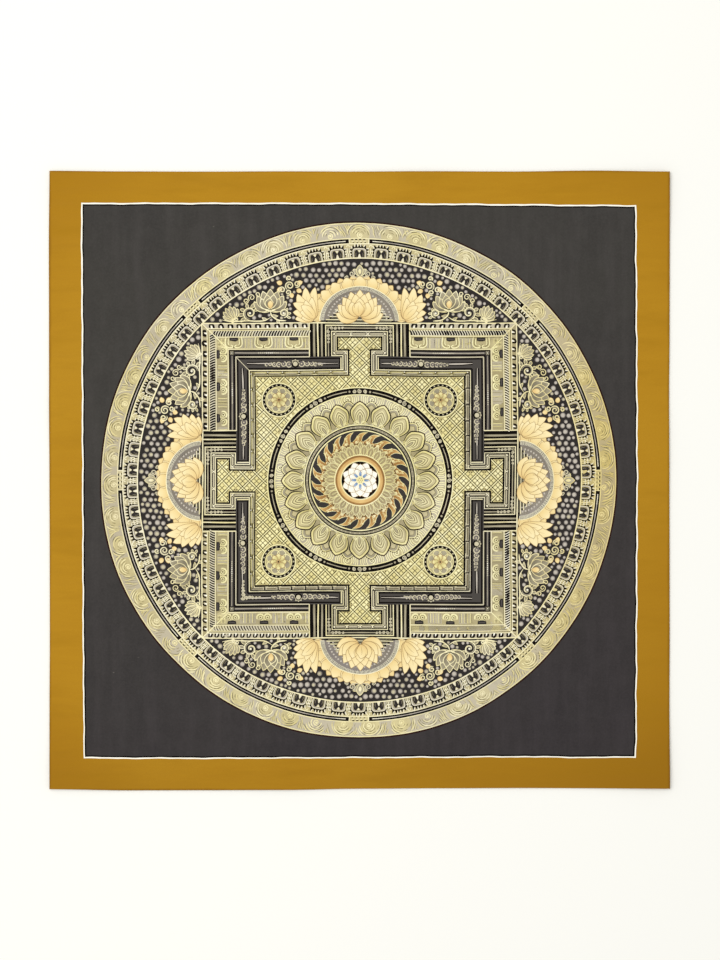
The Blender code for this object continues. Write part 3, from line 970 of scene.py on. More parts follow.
def draw_segments():
    forms = (grey, pearl, peach, sepia, gold_field, white, ink, ink_over)
    start = [(len(p.q), len(p.t)) for p in forms]
    for k in range(4):
        m = side(k)
        u = np.linspace(-1, 1, 49)
        edge = np.stack([u * R_C * math.sqrt(0.5), np.full(49, R_C * math.sqrt(0.5))], 1)
        round_ = np.stack([R_C * np.sin(u * pi / 4), R_C * np.cos(u * pi / 4)], 1)
        black.grid(np.stack([edge * (1 - v) + round_ * v for v in np.linspace(0, 1, 5)], 1), m, z=0.07, tone=-0.1)
        draw_canopy(k)
        for e in (-1, 1):
            draw_spray(m, e)
    # pale dots crowded on the dark ground, smaller where there is less room
    room_map, cell = open_room(forms, start)
    spots, pitch = [], 5.25
    y, row = -R_C, 0
    while y < R_C:
        x = -R_C + (row % 2) * pitch / 2
        while x < R_C:
            spots.append((x + rng.uniform(-0.65, 0.65), y + rng.uniform(-0.65, 0.65)))
            x += pitch
        y += pitch * 0.88
        row += 1
    fill = np.stack(np.meshgrid(np.arange(-R_C, R_C, 1.5), np.arange(-R_C, R_C, 1.5)), -1).reshape(-1, 2)
    fill = fill + rng.uniform(-0.5, 0.5, fill.shape)
    rng.shuffle(fill)
    spots = np.concatenate([spots, fill])
    keep = (np.hypot(spots[:, 0], spots[:, 1]) < R_C - 2.0) & (np.abs(spots).max(1) > HOUSE + 2.0)
    spots = spots[keep]
    at = ((hand(spots) + R_C + 8) / cell).astype(int)
    open_ = room_map[at[:, 0], at[:, 1]] * cell - 0.15
    put = np.zeros((0, 3))
    for (px, py), room in zip(spots, open_):
        room = min(room, R_C - 0.8 - math.hypot(px, py), max(abs(px), abs(py)) - HOUSE - 0.8)
        if room >= 1.25 and len(put):
            room = min(room, (np.hypot(put[:, 0] - px, put[:, 1] - py) - put[:, 2]).min() - 0.55)
        if room < 1.25:
            continue
        r = min(room, rng.uniform(1.85, 2.35))
        put = np.concatenate([put, [(px, py, r)]])
    for px, py, r in put:
        jc = rng.uniform()
        warm = soft_step(0.5 - px / 330.0)
        pearl.dot(px, py, r, n=10, dome=0.5, tone=0.4 + 0.3 * jc, rim=0.25)
        dx, dy = rng.uniform(-0.25, 0.25, 2)
        if jc < 0.15 + 0.45 * warm:
            grey.dot(px + dx, py + dy, r * 0.74, n=8, dome=0.4, tone=0.95 + 0.6 * jc, rim=0.6, z=0.24)
        else:
            pearl.dot(px + dx, py + dy, r * 0.74, n=8, dome=0.4, tone=1.1 + 0.3 * jc, rim=0.8, z=0.24)


# ------------------------------------------------------------------ the square
# Places of the square's bands, outward from its centre.
CRENEL, ROPE, SWAG = (125.2, 129.0), (118.9, 123.2), (108.2, 118.0)
BAND_A, BAND_B = (102.1, 107.6), (91.4, 101.0)
FLOOR, WALL = 86.2, 4.8                # the floor's edge, and the wall's width round it
STEM, HEAD = 9.0, 18.2                 # half widths of a gate's T
NECK, BROW = 107.2, 118.0              # where the T's head starts and ends
GATE = 41.2                            # half the width that a gate takes from the outer bands

# Where the hand varied the bands: for the top, right, bottom and left sides, and on each
# for its two halves, clockwise.
HOOKS = (((7.7, 1.0), (8.0, 1.1)), ((6.9, 1.0), (6.5, 0.9)), ((5.9, 1.1), (5.2, 0.85)), ((6.8, 0.85), (8.4, 1.3)))   # pitch, boldness
ROPES = (((118.8, 123.0, 2.2, 1.05), (119.6, 123.4, 2.15, 1.25)), ((119.0, 122.3, 2.1, 0.75), (119.4, 123.0, 2.05, 1.30)),
         ((119.0, 123.0, 2.4, 0.0), (119.2, 122.9, 2.3, 0.60)), ((119.0, 123.0, 2.0, 0.90), (118.7, 122.9, 2.1, 1.30)))
CUPS = (((54.5, 24.4), (49.0, 25.4)), ((56.5, 23.8), (52.0, 24.0)), ((48.5, 26.2), (53.5, 25.6)), ((53.7, 24.5), (51.7, 26.2)))
CHAINS = ((53.0, 50.5), (54.0, 51.8), (58.5, 50.2), (51.3, 53.2))


def corner_lift(p):
    """The square's corners are painted over the petals' inner ends."""
    return 0.47 * soft_step((np.hypot(p[:, 0], p[:, 1]) - 168.5) / 3.5)


def halves(t, gap, tight=0.0):
    """The two runs of a side at distance t that a gate's gap leaves."""
    return ((-t + tight, -gap), (gap, t - tight))


def band(paint, m, t0, t1, gap, **more):
    grow = t1 - t0
    paint.bar(-t0, -gap, t0, t1, m, miter0=-grow, **more)
    paint.bar(gap, t0, t0, t1, m, miter1=grow, **more)


def rails(paint, m, t, width, gap, **more):
    for a, b in halves(t, gap):
        paint.line((a, t), (b, t), width, m, 7.0, shake=0.0, **more)


def wall_path(d):
    """The wall's line at distance d from the floor: along a side and round the gate's T."""
    f = FLOOR + d
    return np.array([(-f, f), (-STEM - d, f), (-STEM - d, NECK - d), (-HEAD - d, NECK - d), (-HEAD - d, BROW + d),
                     (HEAD + d, BROW + d), (HEAD + d, NECK - d), (STEM + d, NECK - d), (STEM + d, f), (f, f)], float)


def walled(paint, m, d0, d1, first=0, last=9, **more):
    p0, p1 = wall_path(d0), wall_path(d1)
    for i in range(first, last):
        k = max(2, int(np.hypot(*(p0[i + 1] - p0[i])) / 7) + 1)
        u = np.linspace(0, 1, k + 1)[:, None]
        paint.strip(p0[i] + (p0[i + 1] - p0[i]) * u, p1[i] + (p1[i + 1] - p1[i]) * u, m, 1, **more)


def rounded(length, high, n=4):
    """A long closed outline with round ends, its middle at 0."""
    h, r = length / 2, high / 2
    a = np.linspace(-pi / 2, pi / 2, n + 1)
    right = np.stack([h - r + r * np.cos(a), r * np.sin(a)], 1)
    return np.concatenate([right, -right])


def draw_house_side(k):
    m = side(k)
    g = GATE
    # grounds
    band(grey_wash if k % 2 == 0 else cream_wash, m, CRENEL[0] - 1.4, HOUSE, g, tone=1.15 if k % 2 == 0 else -0.05, z=0.08)
    band(cream_wash, m, ROPE[0] - 1.0, CRENEL[0] - 1.4, g, tone=(0.75, 0.5, 0.8, 0.35)[k])
    band(cream_wash, m, BAND_A[1], ROPE[0] - 1.0, g, tone=(0.15, -0.05, 0.20, -0.20)[k], z=0.08)
    # 1. an arcade of small dark hooks
    rails(gold_house, m, HOUSE, 0.95, g, tone=0.75)
    rails(gold_house, m, CRENEL[0] + 0.1, 0.7, g, tone=0.75)
    rails(olive, m, CRENEL[0] - 0.75, 0.45, g, tone=-0.2)
    rails(gold_house, m, CRENEL[0] - 1.4, 0.6, g, tone=0.5)
    for (a, b), (pitch, bold) in zip(halves(127, g, 1.5), HOOKS[k]):
        n = int(round((b - a) / pitch))
        h, t = 0.16 * pitch + 0.5, CRENEL[0] + 0.1
        for i in range(n):
            s = a + (i + 0.5) * (b - a) / n + rng.uniform(-0.3, 0.3)
            j = rng.uniform(-0.2, 0.2, 4)
            thick = bold * (1.0 + 0.6 * j[3])
            lean = np.array([(-0.14 if k == 0 and a < 0 else 0.22, 0.0)])     # how far a hook slants, to its height
            run = curve([(s - h * 0.95 + j[0], t + 0.4), (s - h * 0.95, t + 2.2), (s - h * 0.5, t + 3.35), (s + h * 0.4, t + 3.5),
                         (s + h * 0.9 + j[1], t + 2.5), (s + h * 0.95, t + 0.4)], 3)
            ink.stroke(run + lean * (run[:, 1:] - t - 1.7), 1.16 * thick, m,
                       profile=(0.95, 1.3, 1.3, 1.0, 1.15, 1.05) if lean[0, 0] > 0 else (0.9, 1.1, 1.2, 1.2, 1.4, 1.2), z=0.34)
            run = np.array([(s - h * 0.42, t + 0.2), (s + h * 0.50, t + 0.2), (s + h * 0.35, t + 1.6), (s + h * 0.1, t + 2.5 + j[2]),
                            (s - h * 0.20, t + 2.0)])
            white.blob(run + lean * (run[:, 1:] - t - 1.7), m, tone=0.8, z=0.36)
            if rng.uniform() < 0.6:
                grey.line((s + pitch * 0.45, t + 0.4), (s + pitch * 0.47, t + 2.9), 0.6, m, tone=0.95)
    # 2. a rope of slanting strokes, bold on some sides and all but bare on the lowest
    for (a, b), (lo, hi, pitch, bold) in zip(halves(sum(ROPE) / 2, g, 0.4), ROPES[k]):
        for c, w, tone in ((lo - 0.5, 0.7, 0.8), (hi + 0.7, 0.5, 0.6)):
            gold_house.line((a, c), (b, c), w, m, 7.0, shake=0.0, tone=tone)
        u = np.linspace(a, b, 12)
        (cream_wash if k == 1 else grey_wash).strip(
            np.stack([u, np.full(12, lo - 0.1)], 1), np.stack([u, np.full(12, hi + 0.5)], 1), m, 1,
            tone=(1.05, 0.3, 0.75, 0.35)[k], z=0.112)
        if bold == 0:
            for t in np.arange(lo + 0.6, hi - 0.3, 0.95):
                olive.line((a, t), (b, t + rng.uniform(-0.2, 0.2)), 0.42, m, tone=0.7)
            continue
        n = int(round((b - a) / pitch))
        lean, hi = -1.9 if a > 0 else 1.9, hi + 0.45
        swell = rng.uniform(0, tau)
        for i in range(n):
            s = a + (i + 0.5) * (b - a) / n
            wide = bold * (0.87 + 0.26 * math.sin(i * 0.33 + swell) + 0.12 * rng.uniform(-1, 1))
            ink_over.stroke(curve([(s - lean * 0.5, lo + 0.1), (s - lean * 0.22, (lo + hi) / 2 - 0.2), (s + lean * 0.5, hi - 0.1)], 2),
                            wide, m, profile=(1.0, 1.1, 1.05, 0.75))
            white.stroke(curve([(s + pitch / 2 - lean * 0.5, lo + 0.2), (s + pitch / 2 - lean * 0.22, (lo + hi) / 2 - 0.2),
                                (s + pitch / 2 + lean * 0.5, hi - 0.2)], 2), 0.62, m,
                         tone=(-0.2, 0.1, -0.2, -0.4)[k] + 0.4 * bold, z=0.36, flat=True)
    # 3. hangings: dark cups over pairs of curls, with fine ribs between
    rails(gold_house, m, SWAG[0] + 0.1, 0.8, g, tone=0.75)
    rails(olive, m, SWAG[1] + 0.1, 0.40, g, tone=0.5)
    top = SWAG[1] - 0.1
    for e, (start, step) in zip((-1, 1), CUPS[k]):
        for i in range(3):
            s = e * (start + i * step + rng.uniform(-0.6, 0.6))
            for way in (-1, 1):
                if rng.uniform() < (1.0, 0.55, 0.9, 0.35)[k]:
                    q = way * step / 2
                    grey_wash.blob(np.array([(s + q * 0.8 - 3.2, SWAG[0] + 0.8), (s + q * 0.8 + 3.2, SWAG[0] + 0.8),
                                             (s + q * 0.8 + 3.4, SWAG[1] - 0.6), (s + q * 0.8 - 3.4, SWAG[1] - 0.6)]), m, tone=0.75, z=0.085)
            j = rng.uniform(-0.3, 0.3, 4)
            black.blob(np.array([(s - 3.6, top), (s + 3.6, top), (s + 3.5 + j[2] * 0.5, top - 1.9), (s + 3.2 + j[0], top - 2.6),
                                 (s + 1.2, top - 3.1 + j[3]), (s - 1.2, top - 3.1 + j[2]), (s - 3.2 + j[1], top - 2.6),
                                 (s - 3.5, top - 1.9)]), m, z=0.47, tone=0.1)
            pearl.line((s - 2.4, top - 1.4), (s + 2.4, top - 1.5), 0.36, m, tone=-0.4, z=0.48, flat=True)
            low = SWAG[0] + 0.6
            deep_bowl = k == 0
            wide = 6.6 if deep_bowl else 5.6
            bowl = np.array([(s - wide, top + 0.4 if deep_bowl else low + 5.6), (s - wide - 0.3, low + 3.6), (s - wide + 1.0, low + 1.4),
                             (s - 3.0, low + 0.3), (s, low + 0.6), (s + 3.0, low + 0.3), (s + wide - 1.0, low + 1.4),
                             (s + wide + 0.3, low + 3.6), (s + wide, top + 0.4 if deep_bowl else low + 5.6)])
            bowl = bowl[np.abs(bowl[:, 0]) < bowl[:, 1] - 1.0]
            if len(bowl) > 3:
                cream_wash.blob(bowl, m, tone=(0.35, 0.4, 0.65, 0.2)[k], z=0.118)
            for e2 in (-1, 1):
                if not deep_bowl:
                    if e2 > 0:
                        olive.dot(s, low + 1.3, 0.6, m, n=7, tone=-0.4)
                    cx, cy = s + e2 * (2.95 + 0.2 * j[2]), low + 3.7
                    olive.dot(cx, cy, 0.55, m, n=7, tone=-0.2)
                    for r, paint, w, tone, turn in ((1.15, gold_floor, 0.58, 0.8, 320), (1.75, olive, 0.44, 0.1, 300), (2.35, gold_floor, 0.56, 0.7, 290),
                                                    (3.1, gold_floor, 0.70, 0.85, 300)):
                        run = arc(cx, cy, r, 90 - e2 * 60, 90 - e2 * 60 - e2 * turn, 0.8)
                        for part in stretches(run, lambda p: (np.abs(p[:, 0]) < p[:, 1] - 0.9) & ((p[:, 0] - s) * e2 > 0.1), 3):
                            paint.stroke(part, w, m, tone=tone, taper=0.1)
                    continue
                for run, paint, w, tone in (
                        ([(6.5, top + 0.4), (7.0, low + 4.0), (5.8, low + 1.6), (3.2, low + 0.7), (0.9, low + 1.1), (1.2, low + 2.6),
                          (3.0, low + 3.0)], gold_floor, 0.72, 0.95),
                        ([(5.2, top + 0.2), (5.6, low + 4.2), (4.6, low + 2.3), (2.9, low + 1.8)], olive, 0.42, 0.7),
                        ([(4.5, top - 0.6), (4.7, low + 4.2), (3.8, low + 2.9)], gold_floor, 0.6, 0.95),
                        ([(0.5, low - 0.1), (0.3, low + 1.4), (1.3, low + 3.4)], olive, 0.5, 0.2)):
                    run = curve([(s + e2 * x, y) for x, y in run], 4)
                    for part in stretches(run, lambda p: np.abs(p[:, 0]) < p[:, 1] - 0.9, 3):
                        paint.stroke(part, w, m, tone=tone, taper=0.1)
            for jj, q in enumerate(np.arange(8.2, step / 2, 1.15)):
                for e2 in (-1, 1):
                    paint, w, tone = ((olive, 0.34, 1.2), (gold_floor, 0.55, 0.6), (grey, 0.5, 0.9), (gold_floor, 0.45, 0.4))[jj % 4]
                    x = s + e2 * q
                    if rng.uniform() < 0.8 and GATE + 0.8 < abs(x) < SWAG[0] - 0.8:
                        paint.stroke(curve([(x, SWAG[0] + 0.9), (x + e2 * 0.2, SWAG[0] + 4.4), (x + e2 * 0.1, SWAG[1] - 1.2)], 3), w, m,
                                     tone=tone)
    # 4. a narrow dark band with pearls, and a knot at its corner
    band(black, m, *BAND_A, g)
    rails(grey, m, BAND_A[0] - 0.25, 0.85, g, tone=1.1, z=0.24)
    for t, w in ((BAND_A[0] + 1.0, 1.3), (BAND_A[1] - 0.65, 1.1)):
        rails(ink, m, t, w, g)
    mid_a = BAND_A[1] - 2.5
    for a, b in halves(mid_a, g, 2.4):
        pearl.line((a, mid_a), (b, mid_a), 1.15, m, tone=(0.5, -0.1, 0.5, -0.2)[k])
        grey.line((a, mid_a + 0.1), (b, mid_a - 0.1), 0.40, m, tone=0.7, z=0.24)
        c, half = (a + b) / 2 + rng.uniform(-3, 3), (b - a) * 0.14
        for s in np.arange(c - half, c + half, 1.6):
            white.dot(s, mid_a, 0.52, m, n=6, tone=-0.2 + 0.8 * (abs(s - c) < half * 0.4))
    ink.bar(mid_a - 1.6, mid_a + 1.9, mid_a - 1.6, mid_a + 1.9, m, z=0.24)
    grey.path([(mid_a - 1.1, mid_a - 1.1), (mid_a + 1.2, mid_a - 1.1), (mid_a + 1.2, mid_a + 1.2), (mid_a - 1.1, mid_a + 1.2),
               (mid_a - 1.1, mid_a - 1.1)], 0.42, m, tone=0.5, z=0.26)
    white.dot(mid_a, mid_a, 0.55, m, n=7, tone=0.4)
    # 5. a wide dark band with a chain of curls, ending by the gate
    end = STEM + WALL + 1.4
    band(black, m, BAND_B[0], BAND_A[0] - 0.3, end, tone=(1.1, 1.35, 1.2, 0.95)[k])
    lo, hi = BAND_B
    for t in (lo + 0.85, hi - 0.6):
        rails(ink, m, t, 1.25, end)
    mid = (lo + hi) / 2
    for e, middle in zip((-1, 1), CHAINS[k]):
        gold_house.line((e * end, lo), (e * end, hi), 0.8, m, tone=0.75)
        ink.line((e * (end + 1.1), lo), (e * (end + 1.1), hi), 1.1, m)
        links = [(0.0, 3.0)]
        for way, sizes in ((-1, (2.4, 2.15, 2.0, 1.95, 1.7, 1.4)), (1, (2.5, 2.1, 1.9, 1.65, 1.4, 1.1))):
            x, last = 0.0, 3.0
            for r in sizes:
                x += way * (r + last - 0.25)
                links.append((x, r * (1 + 0.06 * rng.uniform(-1, 1))))
                last = r
        first, final = min(q - r for q, r in links), max(q + r for q, r in links)
        for q, tip, swell in ((end + 2.6, middle + e * (first if e > 0 else -final), 0.9),
                              (mid - 3.6, middle + e * (final if e > 0 else -first), 1.2)):
            tail = cut_up([(e * q, mid + (0.4 if swell > 1 else 0.0)), (e * tip, mid)], 3.0)
            ink.stroke(tail, swell + 1.5, m, z=0.215)
            pearl.stroke(tail, swell, m, profile=(0.4, 0.9, 1.0, 0.8), tone=1.1, z=0.24)
        for i, (q, r) in enumerate(sorted(links, key=lambda v: v[1])):
            way = 1 if i % 2 else -1
            x, y = e * middle + q, mid - 0.3 + 0.25 * way + (0.5 if r > 2.9 else 0.0)
            z = 0.24 + 0.010 * i
            ink.dot(x, y, r + 0.2, m, n=14, dome=0, z=z, tone=0.2)
            if r > 2.9:
                grey.dot(x, y, 1.9, m, n=12, tone=1.0, z=z + 0.004)
                grey.stroke(arc(x, y + 0.2, 2.75, 5, 175, 1.0), 0.55, m, tone=0.7, z=z + 0.004, flat=True)
                for w in range(3):
                    v = math.radians(50 + 40 * w)
                    grey.dot(x + 3.3 * math.cos(v), y + 0.1 + 3.1 * math.sin(v), 0.6, m, n=7, tone=0.9, z=z + 0.004)
                continue
            turn = 90 + 60 * way + 25 * rng.uniform(-1, 1)
            pearl.dot(x, y, r - 0.2, m, n=12, dome=0, tone=(-0.5, 0.2, 0.0, -0.2)[k], z=z + 0.001)
            ring = arc(x, y, r - 0.25, turn, turn + 285, 0.7)
            grey.stroke(ring, 0.42 + 0.14 * r, m, tone=1.1, z=z + 0.002, flat=True, profile=(0.6, 1.0, 1.1, 1.1, 1.0))
            if r > 1.5:
                grey.dot(x + 0.25 * math.cos(math.radians(turn)), y + 0.25 * math.sin(math.radians(turn)), 0.32 * r - 0.12, m, n=7, tone=0.9,
                         z=z + 0.004)
    if k == 2:                             # a second cluster turns the lower left corner
        for i in range(6):
            r = 1.75 - 0.16 * i
            for x, y in ((mid - 0.3, mid - i * 2.75), (mid - i * 2.75, mid - 0.3))[:1 if i == 0 else 2]:
                ink.dot(x, y, r + 0.3, m, n=10, dome=0, z=0.245, tone=0.2)
                grey.stroke(spiral(x, y, r, 0.3, 90 * i, 1.5, 0.7), 0.80, m, tone=1.0, z=0.26, flat=True)
    # 6. the wall round the floor, of long blocks, running round the gate's T
    deep = (0.42, 0.95, 0.90, 0.42)[k]     # how heavily the blocks are lined
    walled(grey_wash if deep > 0.5 else olive_wash, m, 0.0, WALL, tone=(0.35, -0.15, 0.25, -0.40)[k], z=0.10)
    walled(grey_wash, m, 0.0, WALL, 1, 8, tone=0.60, z=0.11)
    for d, w, tone in ((0.95, 0.55, 0.75), (WALL - 0.2, 0.75, 0.85)):
        gold_house.path(wall_path(d), w, m, tone=tone)
    ink_over.path(wall_path(0.1 * deep), 0.60 + 0.85 * deep, m)
    ink_over.path(wall_path(-0.1)[1:9], 1.25, m, z=0.395)
    ink_over.path(wall_path(WALL - 0.85), 0.40 + 0.55 * deep, m)
    run_path = wall_path(2.45)
    for i in range(len(run_path) - 1):
        p0, p1 = run_path[i], run_path[i + 1]
        d = p1 - p0
        length = math.hypot(*d)
        d = d / length
        nrm = np.array((-d[1], d[0]))
        if length < 4:
            continue
        n = max(1, int(round(length / (13.8 if k != 2 else 11.6))))
        for q in range(n):
            cut = length / n
            off = 0.7 * rng.uniform(-1, 1) if n > 1 else 0.0
            c = p0 + d * (cut * (q + 0.5) + off)
            if i in (0, 8):                # low blocks: each one's foot line steps up at the joint and over the next
                h = cut / 2
                if deep > 0.5:
                    o = np.array([(-h + 1.0, -1.0), (h - 0.9, -1.0), (h - 0.9, 1.05), (-h + 1.0, 1.05)])
                    grey.stroke(cut_up(c + np.concatenate([o, o[:1]])[:, :1] * d + np.concatenate([o, o[:1]])[:, 1:] * nrm, 5.0)[:-1], 0.62,
                                m, closed=True, shake=0, tone=0.85)
                    ink_over.line(c - d * (h - 0.1) + nrm * 1.3, c - d * (h - 0.1) - nrm * 1.6, 0.95, m)
                    ink_over.line(c - d * (h - 0.1) - nrm * 1.75, c + d * (h - 2.6) - nrm * 1.75, 0.85, m)
                    ink_over.line(c + d * (h - 5.8) + nrm * 1.65, c + d * (h - 0.2) + nrm * 1.65, 0.85, m)
                    olive.line(c - d * (h - 1.8) + nrm * 0.1, c + d * (h - 1.8) + nrm * 0.15, 0.5, m, tone=0.3)
                else:
                    o = np.array([(-h + 2.6 + 3 * deep, 1.15), (-h + 0.7, 1.15), (-h + 0.3, 0.9), (-h + 0.2, -0.3), (-h + 1.0, -0.5),
                                  (-h + 1.2, -1.25), (h - 1.5, -1.3), (h - 0.9, -0.9), (h - 0.9, -0.2)])
                    ink_over.stroke(cut_up(c + o[:, :1] * d + o[:, 1:] * nrm, 5.0), deep, m, shake=0,
                                    profile=(0.4, 0.7, 1.0, 1.0, 1.2, 1.2, 0.9))
                if deep > 0.5:
                    continue
                grey.line(c - d * (h - 2.2) - nrm * 0.4, c + d * (h - 2.2) - nrm * 0.4, 0.8, m, tone=0.7)
                gold_floor.line(c - d * (h - 2.0) + nrm * 0.6, c + d * (h - 1.2) + nrm * 0.55, 0.42, m, tone=0.6)
                white.dot(*(c + d * (h - 0.1) + nrm * 0.7), 0.50, m, n=7, tone=0.5)
                if rng.uniform() < 0.5:
                    ink_over.line(c + d * (h - 0.1) - nrm * 0.1, c + d * (h + 0.2) - nrm * 1.2, 0.62, m)
                continue
            for high, tall, paint, w, tone in ((cut - 0.5, 2.9, gold_house, 0.55, 0.85), (cut - 1.6, 1.9, ink_over, 0.42, None)):
                o = rounded(high, tall)
                o = c + o[:, :1] * d + o[:, 1:] * nrm
                paint.stroke(cut_up(np.concatenate([o, o[:1]]), 5.0)[:-1], w, m, closed=True, shake=0, tone=tone)
            if cut > 5:
                grey.line(c - d * (cut / 2 - 1.9), c + d * (cut / 2 - 1.9), 0.7, m, tone=1.0)
            white.dot(*(c + d * (cut / 2)), 0.55, m, n=6, tone=0.5)
    # the dark frame round the T's head, with a chain of curls at its corners
    p0, p1 = wall_path(WALL + 0.3), wall_path(WALL + 4.6)
    for i in (3, 4, 5):
        a0, b0, a1, b1 = p0[i].copy(), p0[i + 1].copy(), p1[i].copy(), p1[i + 1].copy()
        for q in (a0, b0, a1, b1):
            q[1] = max(q[1], BAND_A[0] - 0.2)
        u = np.linspace(0, 1, 8)[:, None]
        ink.strip(a0 + (b0 - a0) * u, a1 + (b1 - a1) * u, m, 1)
    frame_line = wall_path(WALL + 2.5)[3:7].copy()
    frame_line[0, 1] = frame_line[-1, 1] = BAND_A[0]
    grey.path(frame_line, 1.0, m, tone=0.15)
    grey.path(frame_line, 0.45, m, tone=0.7, z=0.24)
    outer = wall_path(WALL + 4.7)[3:7].copy()
    outer[0, 1] = outer[-1, 1] = BAND_A[0]
    gold_house.path(outer, 0.85, m, tone=0.75)
    for e in (-1, 1):
        x, y = e * (HEAD + WALL + 2.5), BROW + WALL + 2.5
        for i in range(5):
            for px, py in ((x, y - i * 2.9), (x - e * i * 2.9, y)):
                r = 1.55 - 0.13 * i
                ink.dot(px, py, r + 0.4, m, n=9, dome=0, z=0.245, tone=0.2)
                grey.stroke(spiral(px, py, r, 0.3, 90 * i, 1.4, 0.7), 0.62, m, tone=0.9, z=0.3)
    # the jambs' stripes
    inside = HEAD + WALL + 4.9
    for e in (-1, 1):
        ink.bar(e * inside, e * (g + 0.3), BAND_A[0] - 0.1, HOUSE - 0.4, m, tone=0.3)
        for s, wide, paint, tone in ((inside + 3.1, 1.55, grey, 0.10), (inside + 6.3, 1.15, gold_house, 0.55),
                                     (inside + 9.5, 1.9, grey, -0.1)):
            a, b = s + rng.uniform(-0.15, 0.15), s + rng.uniform(-0.25, 0.25)
            paint.line((e * a, BAND_A[0] - 0.2), (e * b, HOUSE - 0.4), wide, m, tone=tone + (0.15, -0.15, 0.2, -0.15)[k])
            if paint is grey:
                for q in (-0.25, 0.3):
                    grey.line((e * (a + q), BAND_A[0] + 0.4), (e * (b + q), HOUSE - 1.0), 0.36, m, tone=0.8, z=0.25, taper=0.3)
            else:
                white.line((e * b, HOUSE - 8.0), (e * b, HOUSE - 0.6), 0.6, m, tone=0.3, taper=0.5)
        gold_house.line((e * (g + 0.2), BAND_A[0] - 0.2), (e * (g + 0.2), HOUSE), 0.85, m, tone=0.75)
    # the lintel over the gate
    gold_house.line((-g, HOUSE), (g, HOUSE), 1.0, m, tone=0.8)
    ink.bar(-inside, inside, BROW + WALL + 4.9, HOUSE - 0.4, m, z=0.18)
    # the corner's seams
    gold_house.line((ROPE[0] - 0.5, ROPE[0] - 0.5), (HOUSE, HOUSE), 0.85, m, tone=0.75)
    corner = (SWAG[0] + SWAG[1]) / 2 - 0.5
    cream_wash.dot(corner, corner, 5.6, m, n=16, dome=0, tone=1.0, rim=0.4, z=0.117)
    gold_floor.line((BAND_A[1] + 0.8, BAND_A[1] + 0.8), (SWAG[1] - 0.4, SWAG[1] - 0.4), 0.75, m, tone=0.8)
    for i in range(4):
        q = 1.6 + i * 1.5
        for x0, y0, x1, y1 in ((q, 0, q, 5.6 - i * 0.7), (0, q, 5.6 - i * 0.7, q)):
            (gold_floor if i % 2 else olive).line((SWAG[1] - 1.2 - x0, SWAG[1] - 1.2 - y0), (SWAG[1] - 1.2 - x1, SWAG[1] - 1.2 - y1), 0.42, m,
                                                  tone=0.6 if i % 2 else 1.1)
    if k == 3:
        grey.line((FLOOR + WALL, FLOOR + WALL), (BAND_A[0], BAND_A[0]), 0.62, m, tone=1.0, z=0.25)


def inside_floor(p):
    """Whether picture points lie on the lattice floor."""
    ax, ay = np.abs(p[:, 0]), np.abs(p[:, 1])
    big, small = np.maximum(ax, ay), np.minimum(ax, ay)
    corner = np.hypot(ax - 66.5, ay - 66.5) > 14.6
    square = (big < FLOOR - 0.7) & (np.hypot(ax, ay) > 76.6) & corner
    stem = (big >= FLOOR - 0.7) & (big < NECK) & (small < STEM - 0.3)
    head = (big >= NECK) & (big < BROW - 0.3) & (small < HEAD - 0.3)
    return square | stem | head


